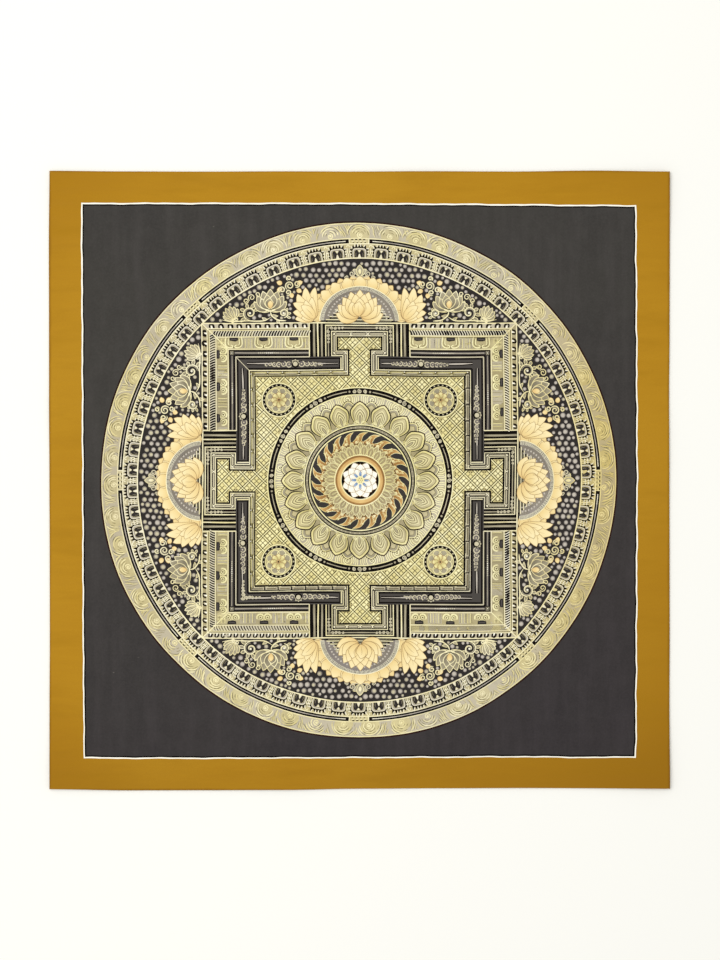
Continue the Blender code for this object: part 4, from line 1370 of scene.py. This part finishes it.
def draw_floor():
    for k in range(4):
        m = side(k)
        s = np.linspace(-1, 1, 33)
        round_ = np.stack([76.0 * np.sin(s * pi / 4), 76.0 * np.cos(s * pi / 4)], 1)
        square = np.stack([s * (FLOOR + 0.3), np.full_like(s, FLOOR + 0.3)], 1)
        olive_wash.grid(np.stack([round_ * (1 - v) + square * v for v in np.linspace(0, 1, 5)], 1), m, tone=0.72)
        olive_wash.bar(-STEM, STEM, FLOOR, NECK, m, tone=0.78)
        olive_wash.bar(-HEAD, HEAD, NECK, BROW, m, tone=0.80)
    pitch = 11.35                          # across a cell, from corner to corner
    reach = 23

    def slant(paint, c, e, width, every=1, **more):
        x = np.linspace(-125, 125, 500)
        for i, run in enumerate(stretches(np.stack([x, e * x + c], 1), inside_floor, 5)):
            if rng.uniform() < every:
                paint.stroke(cut_up([run[0], run[-1]], 6.0), width, shake=0.05, **more)
    for i in range(-reach, reach + 1):
        for e in (1, -1):
            c = i * pitch
            slant(gold_floor, c, e, 0.95, tone=0.78)
            slant(ink_over, c + 1.25, e, 0.46)
            slant(ink_over, c - 1.25, e, 0.40, 0.8)
            slant(gold_floor, c + 2.25, e, 0.42, tone=0.5)
            slant(gold_floor, c - 2.25, e, 0.42, tone=0.4)
    # a flower in each cell
    for i in range(-reach, reach + 1):
        for j in range(-reach, reach + 1):
            x, y = (i - j) * pitch / 2, (i + j + 1) * pitch / 2
            tone = 0.62 + rng.uniform(-0.25, 0.25)
            z = 0.30
            whole = True
            for a in range(4):
                c, s = math.cos(a * pi / 2), math.sin(a * pi / 2)
                q = np.array([(x + r * c - e * 1.0 * s, y + r * s + e * 1.0 * c) for r, e in ((0.5, 0), (3.7, 0), (2.0, 1), (2.0, -1))])
                if not inside_floor(q).all():
                    whole = False
                    continue
                petal(gold_floor, None, (x + c * 0.45, y + s * 0.45), (x + c * 3.9, y + s * 3.9), 2.6, z=z,
                      foot=0.7, head=0.7, ogee=0.1, n=7, dome=0.5, tones=(tone, tone + 0.25))
            for a in range(4):
                c, s = math.cos(a * pi / 2 + pi / 4), math.sin(a * pi / 2 + pi / 4)
                q = np.array([(x + c * 0.5, y + s * 0.5), (x + c * 3.2, y + s * 3.2)])
                if inside_floor(q).all():
                    olive.blob([(x + c * 0.6, y + s * 0.6), (x + c * 1.7 - s * 0.8, y + s * 1.7 + c * 0.8), (x + c * 3.2, y + s * 3.2),
                                (x + c * 1.7 + s * 0.8, y + s * 1.7 - c * 0.8)], tone=0.55, z=0.27)
                    ink_over.line((x + c * 0.8, y + s * 0.8), (x + c * 2.4, y + s * 2.4), 0.36)
            if whole:
                ink_over.dot(x, y, 0.50, n=6)
    # a roundel in each corner of the floor
    for cx in (-66.5, 66.5):
        for cy in (-66.5, 66.5):
            ink.ring(0.5, 13.6, cx=cx, cy=cy, step=2.0)
            gold_floor.stroke(circle(13.9, 1.8, cx, cy), 0.85, closed=True, tone=0.8)
            gold_floor.stroke(circle(10.9, 1.8, cx, cy), 0.6, closed=True, tone=0.6)
            for k in range(22):
                a = k * tau / 22
                grey.dot(cx + 12.35 * math.cos(a), cy + 12.35 * math.sin(a), 0.72, n=7, tone=0.7)
            cream_wash.ring(0.4, 10.7, cx=cx, cy=cy, step=1.6, z=0.2, tone=0.3)
            rosette(cx, cy, 10.4, petals=8, turn=pi / 8, fill=grey, line=gold_floor, w=0.6, z=0.22, tones=(0.0, 0.6))
            rosette(cx, cy, 6.6, petals=8, turn=0.0, fill=gold_floor, line=sepia, w=0.42, z=0.36, tones=(0.0, 0.8))


# ------------------------------------------------------------------ the centre
def draw_great_lotus():
    gold_heart.stroke(circle(76.2, 1.8), 0.9, closed=True, tone=0.75)
    ink.ring(70.6, 75.8)
    gold_heart.stroke(circle(70.3, 1.8), 0.85, closed=True, tone=0.75)
    for k in range(108):
        a = k * tau / 108
        x, y = 73.2 * math.cos(a), 73.2 * math.sin(a)
        if k % 9 in (0, 1, 8):
            r = 1.95 if k % 9 == 0 else 1.5
            grey.stroke(spiral(x, y, r, 0.35, math.degrees(a) + 90 * (k % 3), 1.5, 0.8), 0.75, tone=0.9)
        elif k % 9 in (2, 7):
            grey.dot(x, y, 0.95, n=8, tone=0.8, rim=0.2)
        else:
            grey.stroke(arc(0, 0, 73.2, math.degrees(a) - 1.7, math.degrees(a) + 1.7, 1.2), 0.75, tone=0.6)
    grey_wash.ring(45.0, 70.6, tone=0.85)
    # whorls between the petals' tips, on a ribbed ground
    n = 20
    for k in range(n):
        m = ring_at(66.6, (k + 0.5) * 360 / n)
        e = 1 if k % 2 else -1
        if k % 3:
            cream_wash.dot(0, 0, 6.4, m, n=14, dome=0, squash=0.7, tone=0.8, rim=0.3, z=0.115)
        gold_heart.stroke(spiral(0, 0.2, 2.9, 0.4, 90, 1.7 * e, 0.8), 0.75, m, tone=0.95, z=0.13)
        olive.stroke(spiral(0, 0.2, 2.2, 0.5, 90, 1.2 * e, 0.8), 0.36, m, tone=0.2, z=0.125)
        for r in (4.5, 6.1, 7.7, 9.3):
            for lo, hi in ((-40, 40), (140, 220)):
                part = arc(0, 0.2, r, lo, hi, 1.2)
                part = part[(part[:, 1] < 3.2) & (np.abs(part[:, 0]) < 10.2)]
                if len(part) > 3:
                    gold_heart.stroke(part, 0.75, m, tone=0.8, z=0.13)
    z = 0.16
    for k in range(n):       # back row
        m = ring_at(45.0, (k + 0.5) * 360 / n)
        petal(ink, None, (0, 1.4), (0, 21.6), 12.6, m, foot=0.5, head=0.5, ogee=0.45, z=z, n=14)
        petal(grey, gold_heart, (0, 2.0), (0, 20.4), 11.0, m, foot=0.5, head=0.5, ogee=0.45, w=0.72, z=z + 0.004,
              tones=(-0.2, 0.5), n=16, dome=0.1)
        petal(cream_wash, olive, (0, 2.0), (0, 17.8), 8.2, m, foot=0.5, head=0.5, ogee=0.45, w=0.40, z=z + 0.02,
              tones=(-0.2, 0.8), veins=3, vein=olive, n=14)
        z += 0.001
    z = 0.23
    for k in range(n):       # front row
        m = ring_at(45.0, k * 360 / n)
        petal(ink, None, (0, -0.5), (0, 20.6), 13.7, m, foot=0.55, head=0.5, ogee=0.45, z=z, n=14)
        petal(gold_heart, None, (0, -0.2), (0, 19.6), 12.3, m, foot=0.55, head=0.5, ogee=0.45, z=z + 0.02,
              tones=(0.2, 0.7), n=16, dome=0.1)
        petal(olive, None, (0, 0.2), (0, 17.9), 10.4, m, foot=0.55, head=0.5, ogee=0.43, z=z + 0.05, tones=(0.6, 1.2), n=14, dome=0)
        petal(cream_wash, None, (0, 0.4), (0, 17.1), 9.4, m, foot=0.55, head=0.5, ogee=0.42, z=z + 0.06, tones=(-0.1, 0.9), n=14)
        for i, (w, t1) in enumerate(((7.2, 14.6), (5.0, 12.2), (2.8, 9.8))):
            a, b, mid, u = petal_sides((0, 1.2), (0, t1), w, 0, 0.55, 0.5, 0.42, 12)
            gold_heart.stroke(outline_of(a, b), 0.50, m, closed=True, z=z + 0.085, flat=True, tone=0.75)
            a, b, mid, u = petal_sides((0, 1.2), (0, t1 - 1.0), w - 1.0, 0, 0.55, 0.5, 0.42, 12)
            olive.stroke(outline_of(a, b), 0.34, m, closed=True, z=z + 0.08, flat=True, tone=0.3)
        grey.stroke(np.array([(0, 1.0), (0, 8.6)]), 0.9, m, profile=(1.0, 0.9, 0.3), z=z + 0.09, tone=0.6, shake=0)
        for e in (-1, 1):
            gold_heart.stroke(spiral(e * 3.9, 2.7, 1.35, 0.4, 90, 1.2 * e, 0.7), 0.5, m, z=z + 0.10)
        z += 0.001
    ink.ring(40.6, 46.0, z=0.35)
    for r, w in ((45.8, 0.85), (41.2, 0.95)):
        gold_heart.stroke(circle(r, 1.6), w, closed=True, tone=0.75, z=0.38)
    grey.stroke(circle(43.6, 1.6), 1.7, closed=True, tone=0.25, z=0.36)
    for k in range(72):
        a = k * tau / 72
        c, s = math.cos(a), math.sin(a)
        grey.dot(43.6 * c, 43.6 * s, 0.60, n=6, tone=0.8 if k % 4 else 1.0, z=0.385)
    black.ring(0.6, 41.0, step=2.2, z=0.33, tone=0.4)


def draw_medallion():
    # small scrolls and pointed leaves round the inside of the rim
    z = 0.35
    count = 22
    for k in range(count):
        m = ring_at(31.0, k * 360 / count + 2.0)
        j = rng.uniform(-1, 1, 6)
        for (bx, by), (tx, ty), w, bend in (((-1.6, -0.6), (3.4 + 0.5 * j[0], 9.0 + 0.4 * j[1]), 3.6, 0.22),
                                            ((0.8, -0.8), (5.6, 6.0 + 0.5 * j[2]), 2.7, -0.18),
                                            ((-2.6, -0.6), (-1.6, 5.6 + 0.5 * j[3]), 2.6, 0.24)):
            petal(amber, gold_heart, (bx, by), (tx, ty), w, m, bend=bend, foot=0.5, head=1.0, ogee=0.2, w=0.38, z=z, tones=(-0.1, 0.9),
                  veins=1, vein=sepia, n=11)
            z += 0.006
        z -= 0.018
        for x, y, r, e in ((0.4, -0.6, 1.6, 1), (-3.4, 0.6, 1.2, -1), (4.3, 0.4, 1.1, 1)):
            amber.dot(x, y, r + 0.35, m, n=10, dome=0.2, z=z + 0.055, tone=0.35, rim=0.0)
            gold_heart.stroke(spiral(x, y, r, 0.3, 250 + 60 * j[4], 1.3 * e, 0.6), 0.40, m, z=z + 0.07, tone=0.8)
        z += 0.001
    # a ring of narrow gold-lined petals
    sepia.ring(20.0, 30.6, step=1.8, tone=-0.3, z=0.455)
    z = 0.46
    for count, r0, r1, w, turn in ((26, 21.0, 31.9, 4.4, 0.5), (26, 20.0, 29.2, 4.9, 0.0)):
        for k in range(count):
            a = (k + turn) * tau / count
            c, s = math.cos(a), math.sin(a)
            petal(cream_wash, gold_heart, (c * r0, s * r0), (c * r1, s * r1), w, foot=0.5, head=0.5, ogee=0.4, w=0.42, z=z,
                  tones=(-0.7, 0.6), n=11)
            petal(None, sepia, (c * (r0 + 1.2), s * (r0 + 1.2)), (c * (r1 - 2.2), s * (r1 - 2.2)), w - 1.8, foot=0.5, head=0.5, ogee=0.4,
                  w=0.30, z=z + 0.004, n=9)
            gold_heart.line((c * (r0 + 1.0), s * (r0 + 1.0)), (c * (r1 - 3.6), s * (r1 - 3.6)), 0.42, z=z + 0.02, tone=0.5, flat=True)
            z += 0.0008
        z += 0.03
    # halo
    amber.ring(15.4, 20.6, step=1.6, tone=0.15, z=0.56)
    amber.ring(16.2, 18.6, step=1.6, tone=0.75, z=0.57)
    amber.ring(15.6, 16.8, step=1.6, tone=1.1, z=0.575)
    for r, w in ((20.7, 0.75), (15.6, 0.7)):
        gold_heart.stroke(circle(r, 1.2), w, closed=True, tone=0.85, z=0.59)
    sepia.stroke(circle(19.6, 1.2), 0.4, closed=True, tone=0.0, z=0.59)
    ink.ring(0.4, 15.4, step=1.6, z=0.56)
    # the white flower
    z = 0.60
    for count, r, w, turn in ((8, 15.2, 9.6, 0.5), (8, 13.2, 8.6, 0.0), (8, 9.6, 6.2, 0.5)):
        for k in range(count):
            a = (k + turn) * tau / count
            c, s = math.cos(a), math.sin(a)
            petal(pale, sepia, (c * 1.2, s * 1.2), (c * r, s * r), w, foot=0.75, head=0.5, ogee=0.42, w=0.34, z=z,
                  tones=(0.2, 1.1), veins=2, vein=sepia, n=14, dome=0.2)
            z += 0.010
    for k in range(8):
        a = k * tau / 8
        c, s = math.cos(a), math.sin(a)
        petal(blue, None, (c * 3.0, s * 3.0), (c * 7.4, s * 7.4), 2.1, foot=0.6, head=0.8, n=8, z=z, tones=(0.3, 1.2))
    gold_heart.dot(0, 0, 3.0, n=18, dome=0.5, z=z + 0.02, tone=0.7)
    gold_heart.stroke(circle(3.0, 0.8), 0.5, closed=True, z=z + 0.03, tone=0.9)
    for k in range(7):
        a = k * tau / 6
        x, y = (1.7 * math.cos(a), 1.7 * math.sin(a)) if k < 6 else (0, 0)
        sepia.dot(x, y, 0.42, n=6, z=z + 0.075)


# ------------------------------------------------------------------- materials
def srgb(r, g, b):
    """An sRGB colour, 0 to 255, as the shader's linear colour."""
    def one(v):
        v /= 255.0
        return v / 12.92 if v <= 0.04045 else ((v + 0.055) / 1.055) ** 2.4
    return (one(r), one(g), one(b), 1.0)


class Nodes:
    """A material's nodes, made with short calls."""

    def __init__(self, name):
        self.mat = bpy.data.materials.new(name)
        self.mat.use_nodes = True
        self.tree = self.mat.node_tree
        self.shader = self.tree.nodes["Principled BSDF"]
        self.place = self.new("ShaderNodeTexCoord").outputs["Object"]

    def new(self, kind, **values):
        node = self.tree.nodes.new(kind)
        for key, value in values.items():
            setattr(node, key, value)
        return node

    def link(self, value, socket):
        if isinstance(value, bpy.types.NodeSocket):
            self.tree.links.new(value, socket)
        else:
            socket.default_value = value

    def math(self, op, a, b=None, c=None, clamp=False):
        n = self.new("ShaderNodeMath", operation=op, use_clamp=clamp)
        for i, v in enumerate((a, b, c)):
            if v is not None:
                self.link(v, n.inputs[i])
        return n.outputs[0]

    def stretched(self, x, y, z, source=None):
        n = self.new("ShaderNodeMapping")
        self.link(source or self.place, n.inputs["Vector"])
        n.inputs["Scale"].default_value = (x, y, z)
        return n.outputs[0]

    def noise(self, scale, detail=3.0, rough=0.55, vector=None, distort=0.0):
        n = self.new("ShaderNodeTexNoise")
        self.link(vector or self.place, n.inputs["Vector"])
        n.inputs["Scale"].default_value = scale
        n.inputs["Detail"].default_value = detail
        n.inputs["Roughness"].default_value = rough
        n.inputs["Distortion"].default_value = distort
        return n.outputs["Fac"]

    def spots(self, scale, vector=None, feature="F1"):
        n = self.new("ShaderNodeTexVoronoi", feature=feature)
        self.link(vector or self.place, n.inputs["Vector"])
        n.inputs["Scale"].default_value = scale
        return n.outputs["Distance"]

    def ranged(self, value, a, b, c=0.0, d=1.0, soft=False):
        n = self.new("ShaderNodeMapRange", interpolation_type="SMOOTHSTEP" if soft else "LINEAR")
        self.link(value, n.inputs["Value"])
        for key, v in zip(("From Min", "From Max", "To Min", "To Max"), (a, b, c, d)):
            n.inputs[key].default_value = v
        return n.outputs[0]

    def mix(self, fac, a, b, blend="MIX"):
        n = self.new("ShaderNodeMix", data_type="RGBA", blend_type=blend)
        self.link(fac, n.inputs[0])
        self.link(a, n.inputs[6])
        self.link(b, n.inputs[7])
        return n.outputs[2]

    def weave(self, pitch=0.00052):
        """Height of a plain weave, 0 to 1, threads along X and Y."""
        sep = self.new("ShaderNodeSeparateXYZ")
        self.link(self.place, sep.inputs[0])
        wander = self.noise(180.0, 2.0)
        out = []
        for axis in (0, 1):
            along = self.math("MULTIPLY", sep.outputs[axis], tau / pitch)
            along = self.math("ADD", along, self.math("MULTIPLY", wander, 2.2))
            out.append(self.math("SINE", along))
        return self.ranged(self.math("MULTIPLY", out[0], out[1]), -1.0, 1.0)

    def bump(self, height, distance, strength=1.0, under=None):
        n = self.new("ShaderNodeBump")
        n.inputs["Strength"].default_value = strength
        n.inputs["Distance"].default_value = distance
        self.link(height, n.inputs["Height"])
        if under is not None:
            self.link(under, n.inputs["Normal"])
        return n.outputs[0]

    def finish(self, colour, rough, normal=None, metallic=0.0, sheen=0.0, specular=0.5):
        s = self.shader.inputs
        self.link(colour, s["Base Color"])
        self.link(rough, s["Roughness"])
        self.link(metallic, s["Metallic"])
        s["Sheen Weight"].default_value = sheen
        s["Specular IOR Level"].default_value = specular
        if normal is not None:
            self.link(normal, s["Normal"])
        return self.mat


def border_material():
    n = Nodes("ochre_border")
    sep = n.new("ShaderNodeSeparateXYZ")
    n.link(n.place, sep.inputs[0])
    x, y = sep.outputs[0], sep.outputs[1]
    ax, ay = n.math("ABSOLUTE", x), n.math("ABSOLUTE", y)
    big = n.math("MAXIMUM", ax, ay)
    far = n.math("SQRT", n.math("ADD", n.math("MULTIPLY", x, x), n.math("MULTIPLY", y, y)))
    broad = n.noise(7.0, 3.0, 0.5)
    streak = n.noise(26.0, 4.0, 0.6, n.stretched(1.0, 7.0, 1.0))
    grain = n.noise(900.0, 2.0, 0.6)
    colour = n.mix(n.ranged(broad, 0.35, 0.65), srgb(174, 126, 22), srgb(180, 133, 28))
    colour = n.mix(n.ranged(streak, 0.42, 0.72, 0.0, 0.30), colour, srgb(186, 139, 36))
    # painted shade: duller towards the corners and the cut edge, most at the lower right, where the light falls off
    colour = n.mix(n.ranged(far, 0.262, 0.362, 0.0, 0.60, True), colour, srgb(158, 110, 12))
    shade_low_right = n.math("SUBTRACT", x, y)
    colour = n.mix(n.ranged(shade_low_right, 0.10, 0.51, 0.0, 0.55, True), colour, srgb(148, 103, 12))
    edge = n.math("ADD", big, n.ranged(n.noise(60.0, 3.0), 0.3, 0.7, -0.0004, 0.0004))
    colour = n.mix(n.ranged(edge, 0.2525, 0.2552, 0.0, 0.6, True), colour, srgb(118, 78, 8))
    colour = n.mix(n.ranged(grain, 0.35, 0.75, 0.0, 0.14), colour, srgb(146, 102, 18))
    smear = n.noise(11.0, 4.0, 0.6, n.stretched(1.0, 5.0, 1.0))
    colour = n.mix(n.ranged(smear, 0.50, 0.68, 0.0, 0.32), colour, srgb(156, 112, 14))
    # painted shade: darker along the lowest part of the border
    colour = n.mix(n.ranged(y, -0.16, -0.25, 0.0, 1.0, True), colour, (0.90, 0.89, 0.84, 1.0), "MULTIPLY")
    rough = n.ranged(streak, 0.3, 0.7, 0.62, 0.76)
    normal = n.bump(n.weave(), 0.00004, 0.55)
    normal = n.bump(n.noise(320.0, 4.0, 0.6, n.stretched(1.0, 2.0, 1.0)), 0.00006, 0.5, normal)
    return n.finish(colour, rough, normal, specular=0.10)


def field_material():
    n = Nodes("black_field")
    broad = n.noise(5.0, 4.0, 0.55)
    mottle = n.noise(70.0, 4.0, 0.65)
    fine = n.noise(650.0, 3.0, 0.7)
    colour = n.mix(n.ranged(broad, 0.35, 0.66), srgb(53, 51, 49), srgb(60, 58, 54))
    colour = n.mix(n.ranged(mottle, 0.42, 0.72, 0.0, 0.30), colour, srgb(71, 69, 65))
    colour = n.mix(n.ranged(fine, 0.40, 0.75, 0.0, 0.30), colour, srgb(78, 74, 71))
    brush = n.noise(9.0, 4.0, 0.6, n.stretched(9.0, 1.0, 1.0))
    colour = n.mix(n.ranged(brush, 0.45, 0.75, 0.0, 0.28), colour, srgb(82, 78, 76))
    sep = n.new("ShaderNodeSeparateXYZ")
    n.link(n.place, sep.inputs[0])
    # painted shade: darker towards the lower right of the field
    foot = n.ranged(n.math("SUBTRACT", sep.outputs[1], n.math("MULTIPLY", sep.outputs[0], 0.4)), 0.16, -0.30, 0.0, 1.0, True)
    colour = n.mix(foot, colour, (0.81, 0.755, 0.86, 1.0), "MULTIPLY")
    # rubbed places and pale specks
    speck = n.spots(62.0, n.stretched(1.0, 1.6, 1.0))
    where = n.ranged(n.noise(16.0, 2.0), 0.54, 0.64)
    dust = n.math("MULTIPLY", n.ranged(speck, 0.06, 0.03), where)
    colour = n.mix(n.math("MULTIPLY", dust, 0.32), colour, srgb(150, 142, 132))
    rough = n.ranged(broad, 0.3, 0.7, 0.66, 0.82)
    normal = n.bump(n.weave(), 0.00004, 0.5)
    normal = n.bump(n.noise(260.0, 4.0, 0.6), 0.00005, 0.5, normal)
    return n.finish(colour, rough, normal, specular=0.10)


def cotton_material(name, light, dull, stain):
    n = Nodes(name)
    weave = n.weave()
    broad = n.noise(9.0, 4.0, 0.6)
    slub = n.noise(60.0, 3.0, 0.6, n.stretched(1.0, 14.0, 1.0))
    colour = n.mix(weave, dull, light)
    colour = n.mix(n.ranged(slub, 0.5, 0.75, 0.0, 0.4), colour, dull)
    colour = n.mix(n.ranged(broad, 0.5, 0.8, 0.0, 0.45), colour, stain)
    normal = n.bump(weave, 0.00012, 0.8)
    return n.finish(colour, 0.9, normal, sheen=0.15, specular=0.15)


def paint_material(name, low, mid, high, other=None, rough=0.6, metallic=0.0, specular=0.12, patch=0.30, mottle=0.30,
                   fine=0.25, warm=False):
    """A brushed paint that runs from low to high with the strokes' own tone and with
    where it lies thin or thick; other is the tint that it turns to in broad patches."""
    n = Nodes(name)
    tone = n.new("ShaderNodeAttribute", attribute_name="tone").outputs["Fac"]
    close = n.noise(110.0, 4.0, 0.65)
    grain = n.noise(1400.0, 3.0, 0.65)
    wide = n.noise(20.0, 2.0, 0.5)
    tone = n.math("ADD", tone, n.math("MULTIPLY", n.math("SUBTRACT", wide, 0.5), patch * 2.4))
    tone = n.math("ADD", tone, n.math("MULTIPLY", n.math("SUBTRACT", close, 0.5), mottle * 2.0))
    tone = n.math("ADD", tone, n.math("MULTIPLY", n.math("SUBTRACT", grain, 0.5), fine * 2.0))
    colour = n.mix(n.ranged(tone, 0.0, 0.5), srgb(*low), srgb(*mid))
    colour = n.mix(n.ranged(tone, 0.5, 1.0), colour, srgb(*high))
    if other is not None:
        drift = n.noise(13.0, 3.0, 0.5, n.stretched(1.0, 1.0, 3.0))
        colour = n.mix(n.ranged(drift, 0.44, 0.60, 0.0, 1.0, True), colour, (*other, 1.0), "MULTIPLY")
    if warm:                           # yellower towards the right of the outer ring
        sep = n.new("ShaderNodeSeparateXYZ")
        n.link(n.place, sep.inputs[0])
        x, y = sep.outputs[0], sep.outputs[1]
        right = n.ranged(n.math("ADD", x, n.math("MULTIPLY", wide, 0.08)), 0.14, 0.255, 0.0, 1.0, True)
        colour = n.mix(right, colour, (0.95, 0.885, 0.68, 1.0), "MULTIPLY")
        out = n.math("SQRT", n.math("ADD", n.math("MULTIPLY", x, x), n.math("MULTIPLY", y, y)))
        rim = n.ranged(out, 0.1975, 0.1995)
        left = n.math("MULTIPLY", rim, n.ranged(x, -0.11, -0.205, 0.0, 1.0, True))
        colour = n.mix(left, colour, (0.91, 0.89, 0.85, 1.0), "MULTIPLY")
        edge = n.math("MULTIPLY", rim, n.ranged(x, 0.15, 0.20, 0.0, 1.0, True))
        colour = n.mix(edge, colour, (0.95, 0.93, 0.86, 1.0), "MULTIPLY")
    normal = n.bump(grain, 0.00002, 0.6)
    return n.finish(colour, n.ranged(close, 0.3, 0.7, rough - 0.06, rough + 0.08), normal, metallic, 0.0, specular)


# ---------------------------------------------------------------------- making
draw_white_line()
draw_scroll_ring()
draw_dark_ring()
draw_petal_ring()
draw_segments()
Paint.lift = corner_lift
for k in range(4):
    draw_house_side(k)
Paint.lift = None
draw_floor()
draw_great_lotus()
draw_medallion()

canvas = make_canvas()
for material in (border_material(), field_material(),
                 cotton_material("raw_cotton_back", srgb(214, 201, 172), srgb(184, 168, 136), srgb(190, 170, 128)),
                 cotton_material("cut_edge", srgb(150, 112, 40), srgb(120, 84, 22), srgb(104, 72, 18))):
    canvas.data.materials.append(material)

LOOKS = {
    "grey_wash": paint_material("grey_wash", (134, 126, 108), (162, 153, 128), (193, 184, 160), fine=0.35, warm=True),
    "olive_wash": paint_material("olive_wash", (138, 128, 84), (170, 158, 108), (204, 190, 132), fine=0.30),
    "cream_wash": paint_material("cream_wash", (168, 156, 116), (192, 180, 134), (214, 202, 152), (0.96, 0.97, 1.08),
                                 patch=0.30, mottle=0.40, fine=0.35, warm=True),
    "black": paint_material("black_bands", (46, 42, 40), (60, 56, 53), (74, 70, 66), specular=0.06),
    "ink": paint_material("ink_forms", (10, 7, 5), (17, 13, 11), (66, 32, 27), specular=0.03, patch=0.08, mottle=0.12,
                          fine=0.10),
    "grey": paint_material("grey_marks", (128, 120, 98), (168, 159, 132), (206, 197, 166), fine=0.3),
    "pearl": paint_material("pearl_marks", (104, 97, 94), (142, 134, 126), (194, 186, 172), fine=0.3),
    "olive": paint_material("olive_lines", (98, 88, 54), (124, 114, 74), (150, 140, 96)),
    "peach": paint_material("pale_gold_forms", (226, 192, 126), (240, 216, 154), (248, 232, 182), patch=0.15, mottle=0.15,
                            fine=0.15),
    "amber": paint_material("amber_forms", (156, 112, 58), (198, 154, 90), (230, 196, 130)),
    "white": paint_material("white_paint", (216, 208, 180), (242, 236, 212), (254, 252, 240), patch=0.2),
    "gold": paint_material("gold_lines", (190, 177, 126), (226, 213, 156), (248, 240, 198), (0.96, 0.97, 1.09), rough=0.5,
                           metallic=0.10, specular=0.3, patch=0.34, mottle=0.34, fine=0.30, warm=True),
    "gold_warm": paint_material("gold_lines_warm", (188, 174, 118), (220, 207, 144), (240, 230, 180), (0.96, 0.97, 1.10), rough=0.5,
                                metallic=0.10, specular=0.3, patch=0.34, mottle=0.40, fine=0.30, warm=True),
    "gold_deep": paint_material("gold_lines_deep", (186, 172, 108), (226, 214, 146), (248, 242, 190), (0.98, 0.98, 1.06), rough=0.5,
                                metallic=0.10, specular=0.3, patch=0.30, mottle=0.30, fine=0.30),
    "sepia": paint_material("sepia_lines", (120, 92, 56), (160, 130, 84), (196, 166, 112)),
    "blue": paint_material("blue_paint", (84, 112, 150), (120, 148, 184), (160, 182, 208)),
}

pieces = []
total = 0
for paint in Paint.every:
    count = paint.triangles()
    total += count
    print(f"{paint.name}: {count} triangles")
    ob = paint.build()
    ob.data.materials.append(LOOKS[paint.look])
    pieces.append(ob)
print("paint triangles in all:", total, "canvas:", 2 * len(canvas.data.polygons))

for ob in (canvas, *pieces):
    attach(ob, "root")
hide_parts("painted_canvas")

# ------------------------------------------------------------------ the setting
bpy.ops.mesh.primitive_plane_add(size=12.0, location=(0, 0, -0.0004))
floor = bpy.context.active_object
floor.name = "floor"
fm = bpy.data.materials.new("pale_floor")
fm.use_nodes = True
fm.node_tree.nodes["Principled BSDF"].inputs["Base Color"].default_value = (0.93, 0.925, 0.875, 1)
fm.node_tree.nodes["Principled BSDF"].inputs["Roughness"].default_value = 0.9
fm.node_tree.nodes["Principled BSDF"].inputs["Specular IOR Level"].default_value = 0.1
floor.data.materials.append(fm)

scene = bpy.context.scene
world = bpy.data.worlds.new("studio")
scene.world = world
world.use_nodes = True
world.node_tree.nodes["Background"].inputs["Color"].default_value = (1.0, 0.997, 0.99, 1)
world.node_tree.nodes["Background"].inputs["Strength"].default_value = 0.715

light = bpy.data.lights.new("overhead", "AREA")
light.shape = "DISK"
light.size = 2.2
light.energy = 34.0
light.color = (1.0, 0.99, 0.97)
lamp = bpy.data.objects.new("overhead", light)
lamp.location = (-0.95, 0.45, 2.4)
lamp.rotation_euler = (Vector((0, 0, 0)) - lamp.location).to_track_quat("-Z", "Y").to_euler()
scene.collection.objects.link(lamp)

camera = bpy.data.cameras.new("camera")
camera.sensor_fit = "VERTICAL"
camera.sensor_height = 36.0
camera.sensor_width = 27.0
camera.lens = 85.0
eye = bpy.data.objects.new("camera", camera)
FRAME_HEIGHT = 960 * 0.51 / 620.1
eye.location = (0.0006, 0.0004, 0.001 + FRAME_HEIGHT * camera.lens / camera.sensor_height)
eye.rotation_euler = (0, 0, 0)
scene.collection.objects.link(eye)
scene.camera = eye

scene.view_settings.view_transform = "Standard"
scene.view_settings.look = "None"
scene.view_settings.exposure = 0.0
scene.view_settings.gamma = 1.0

bpy.context.view_layer.update()
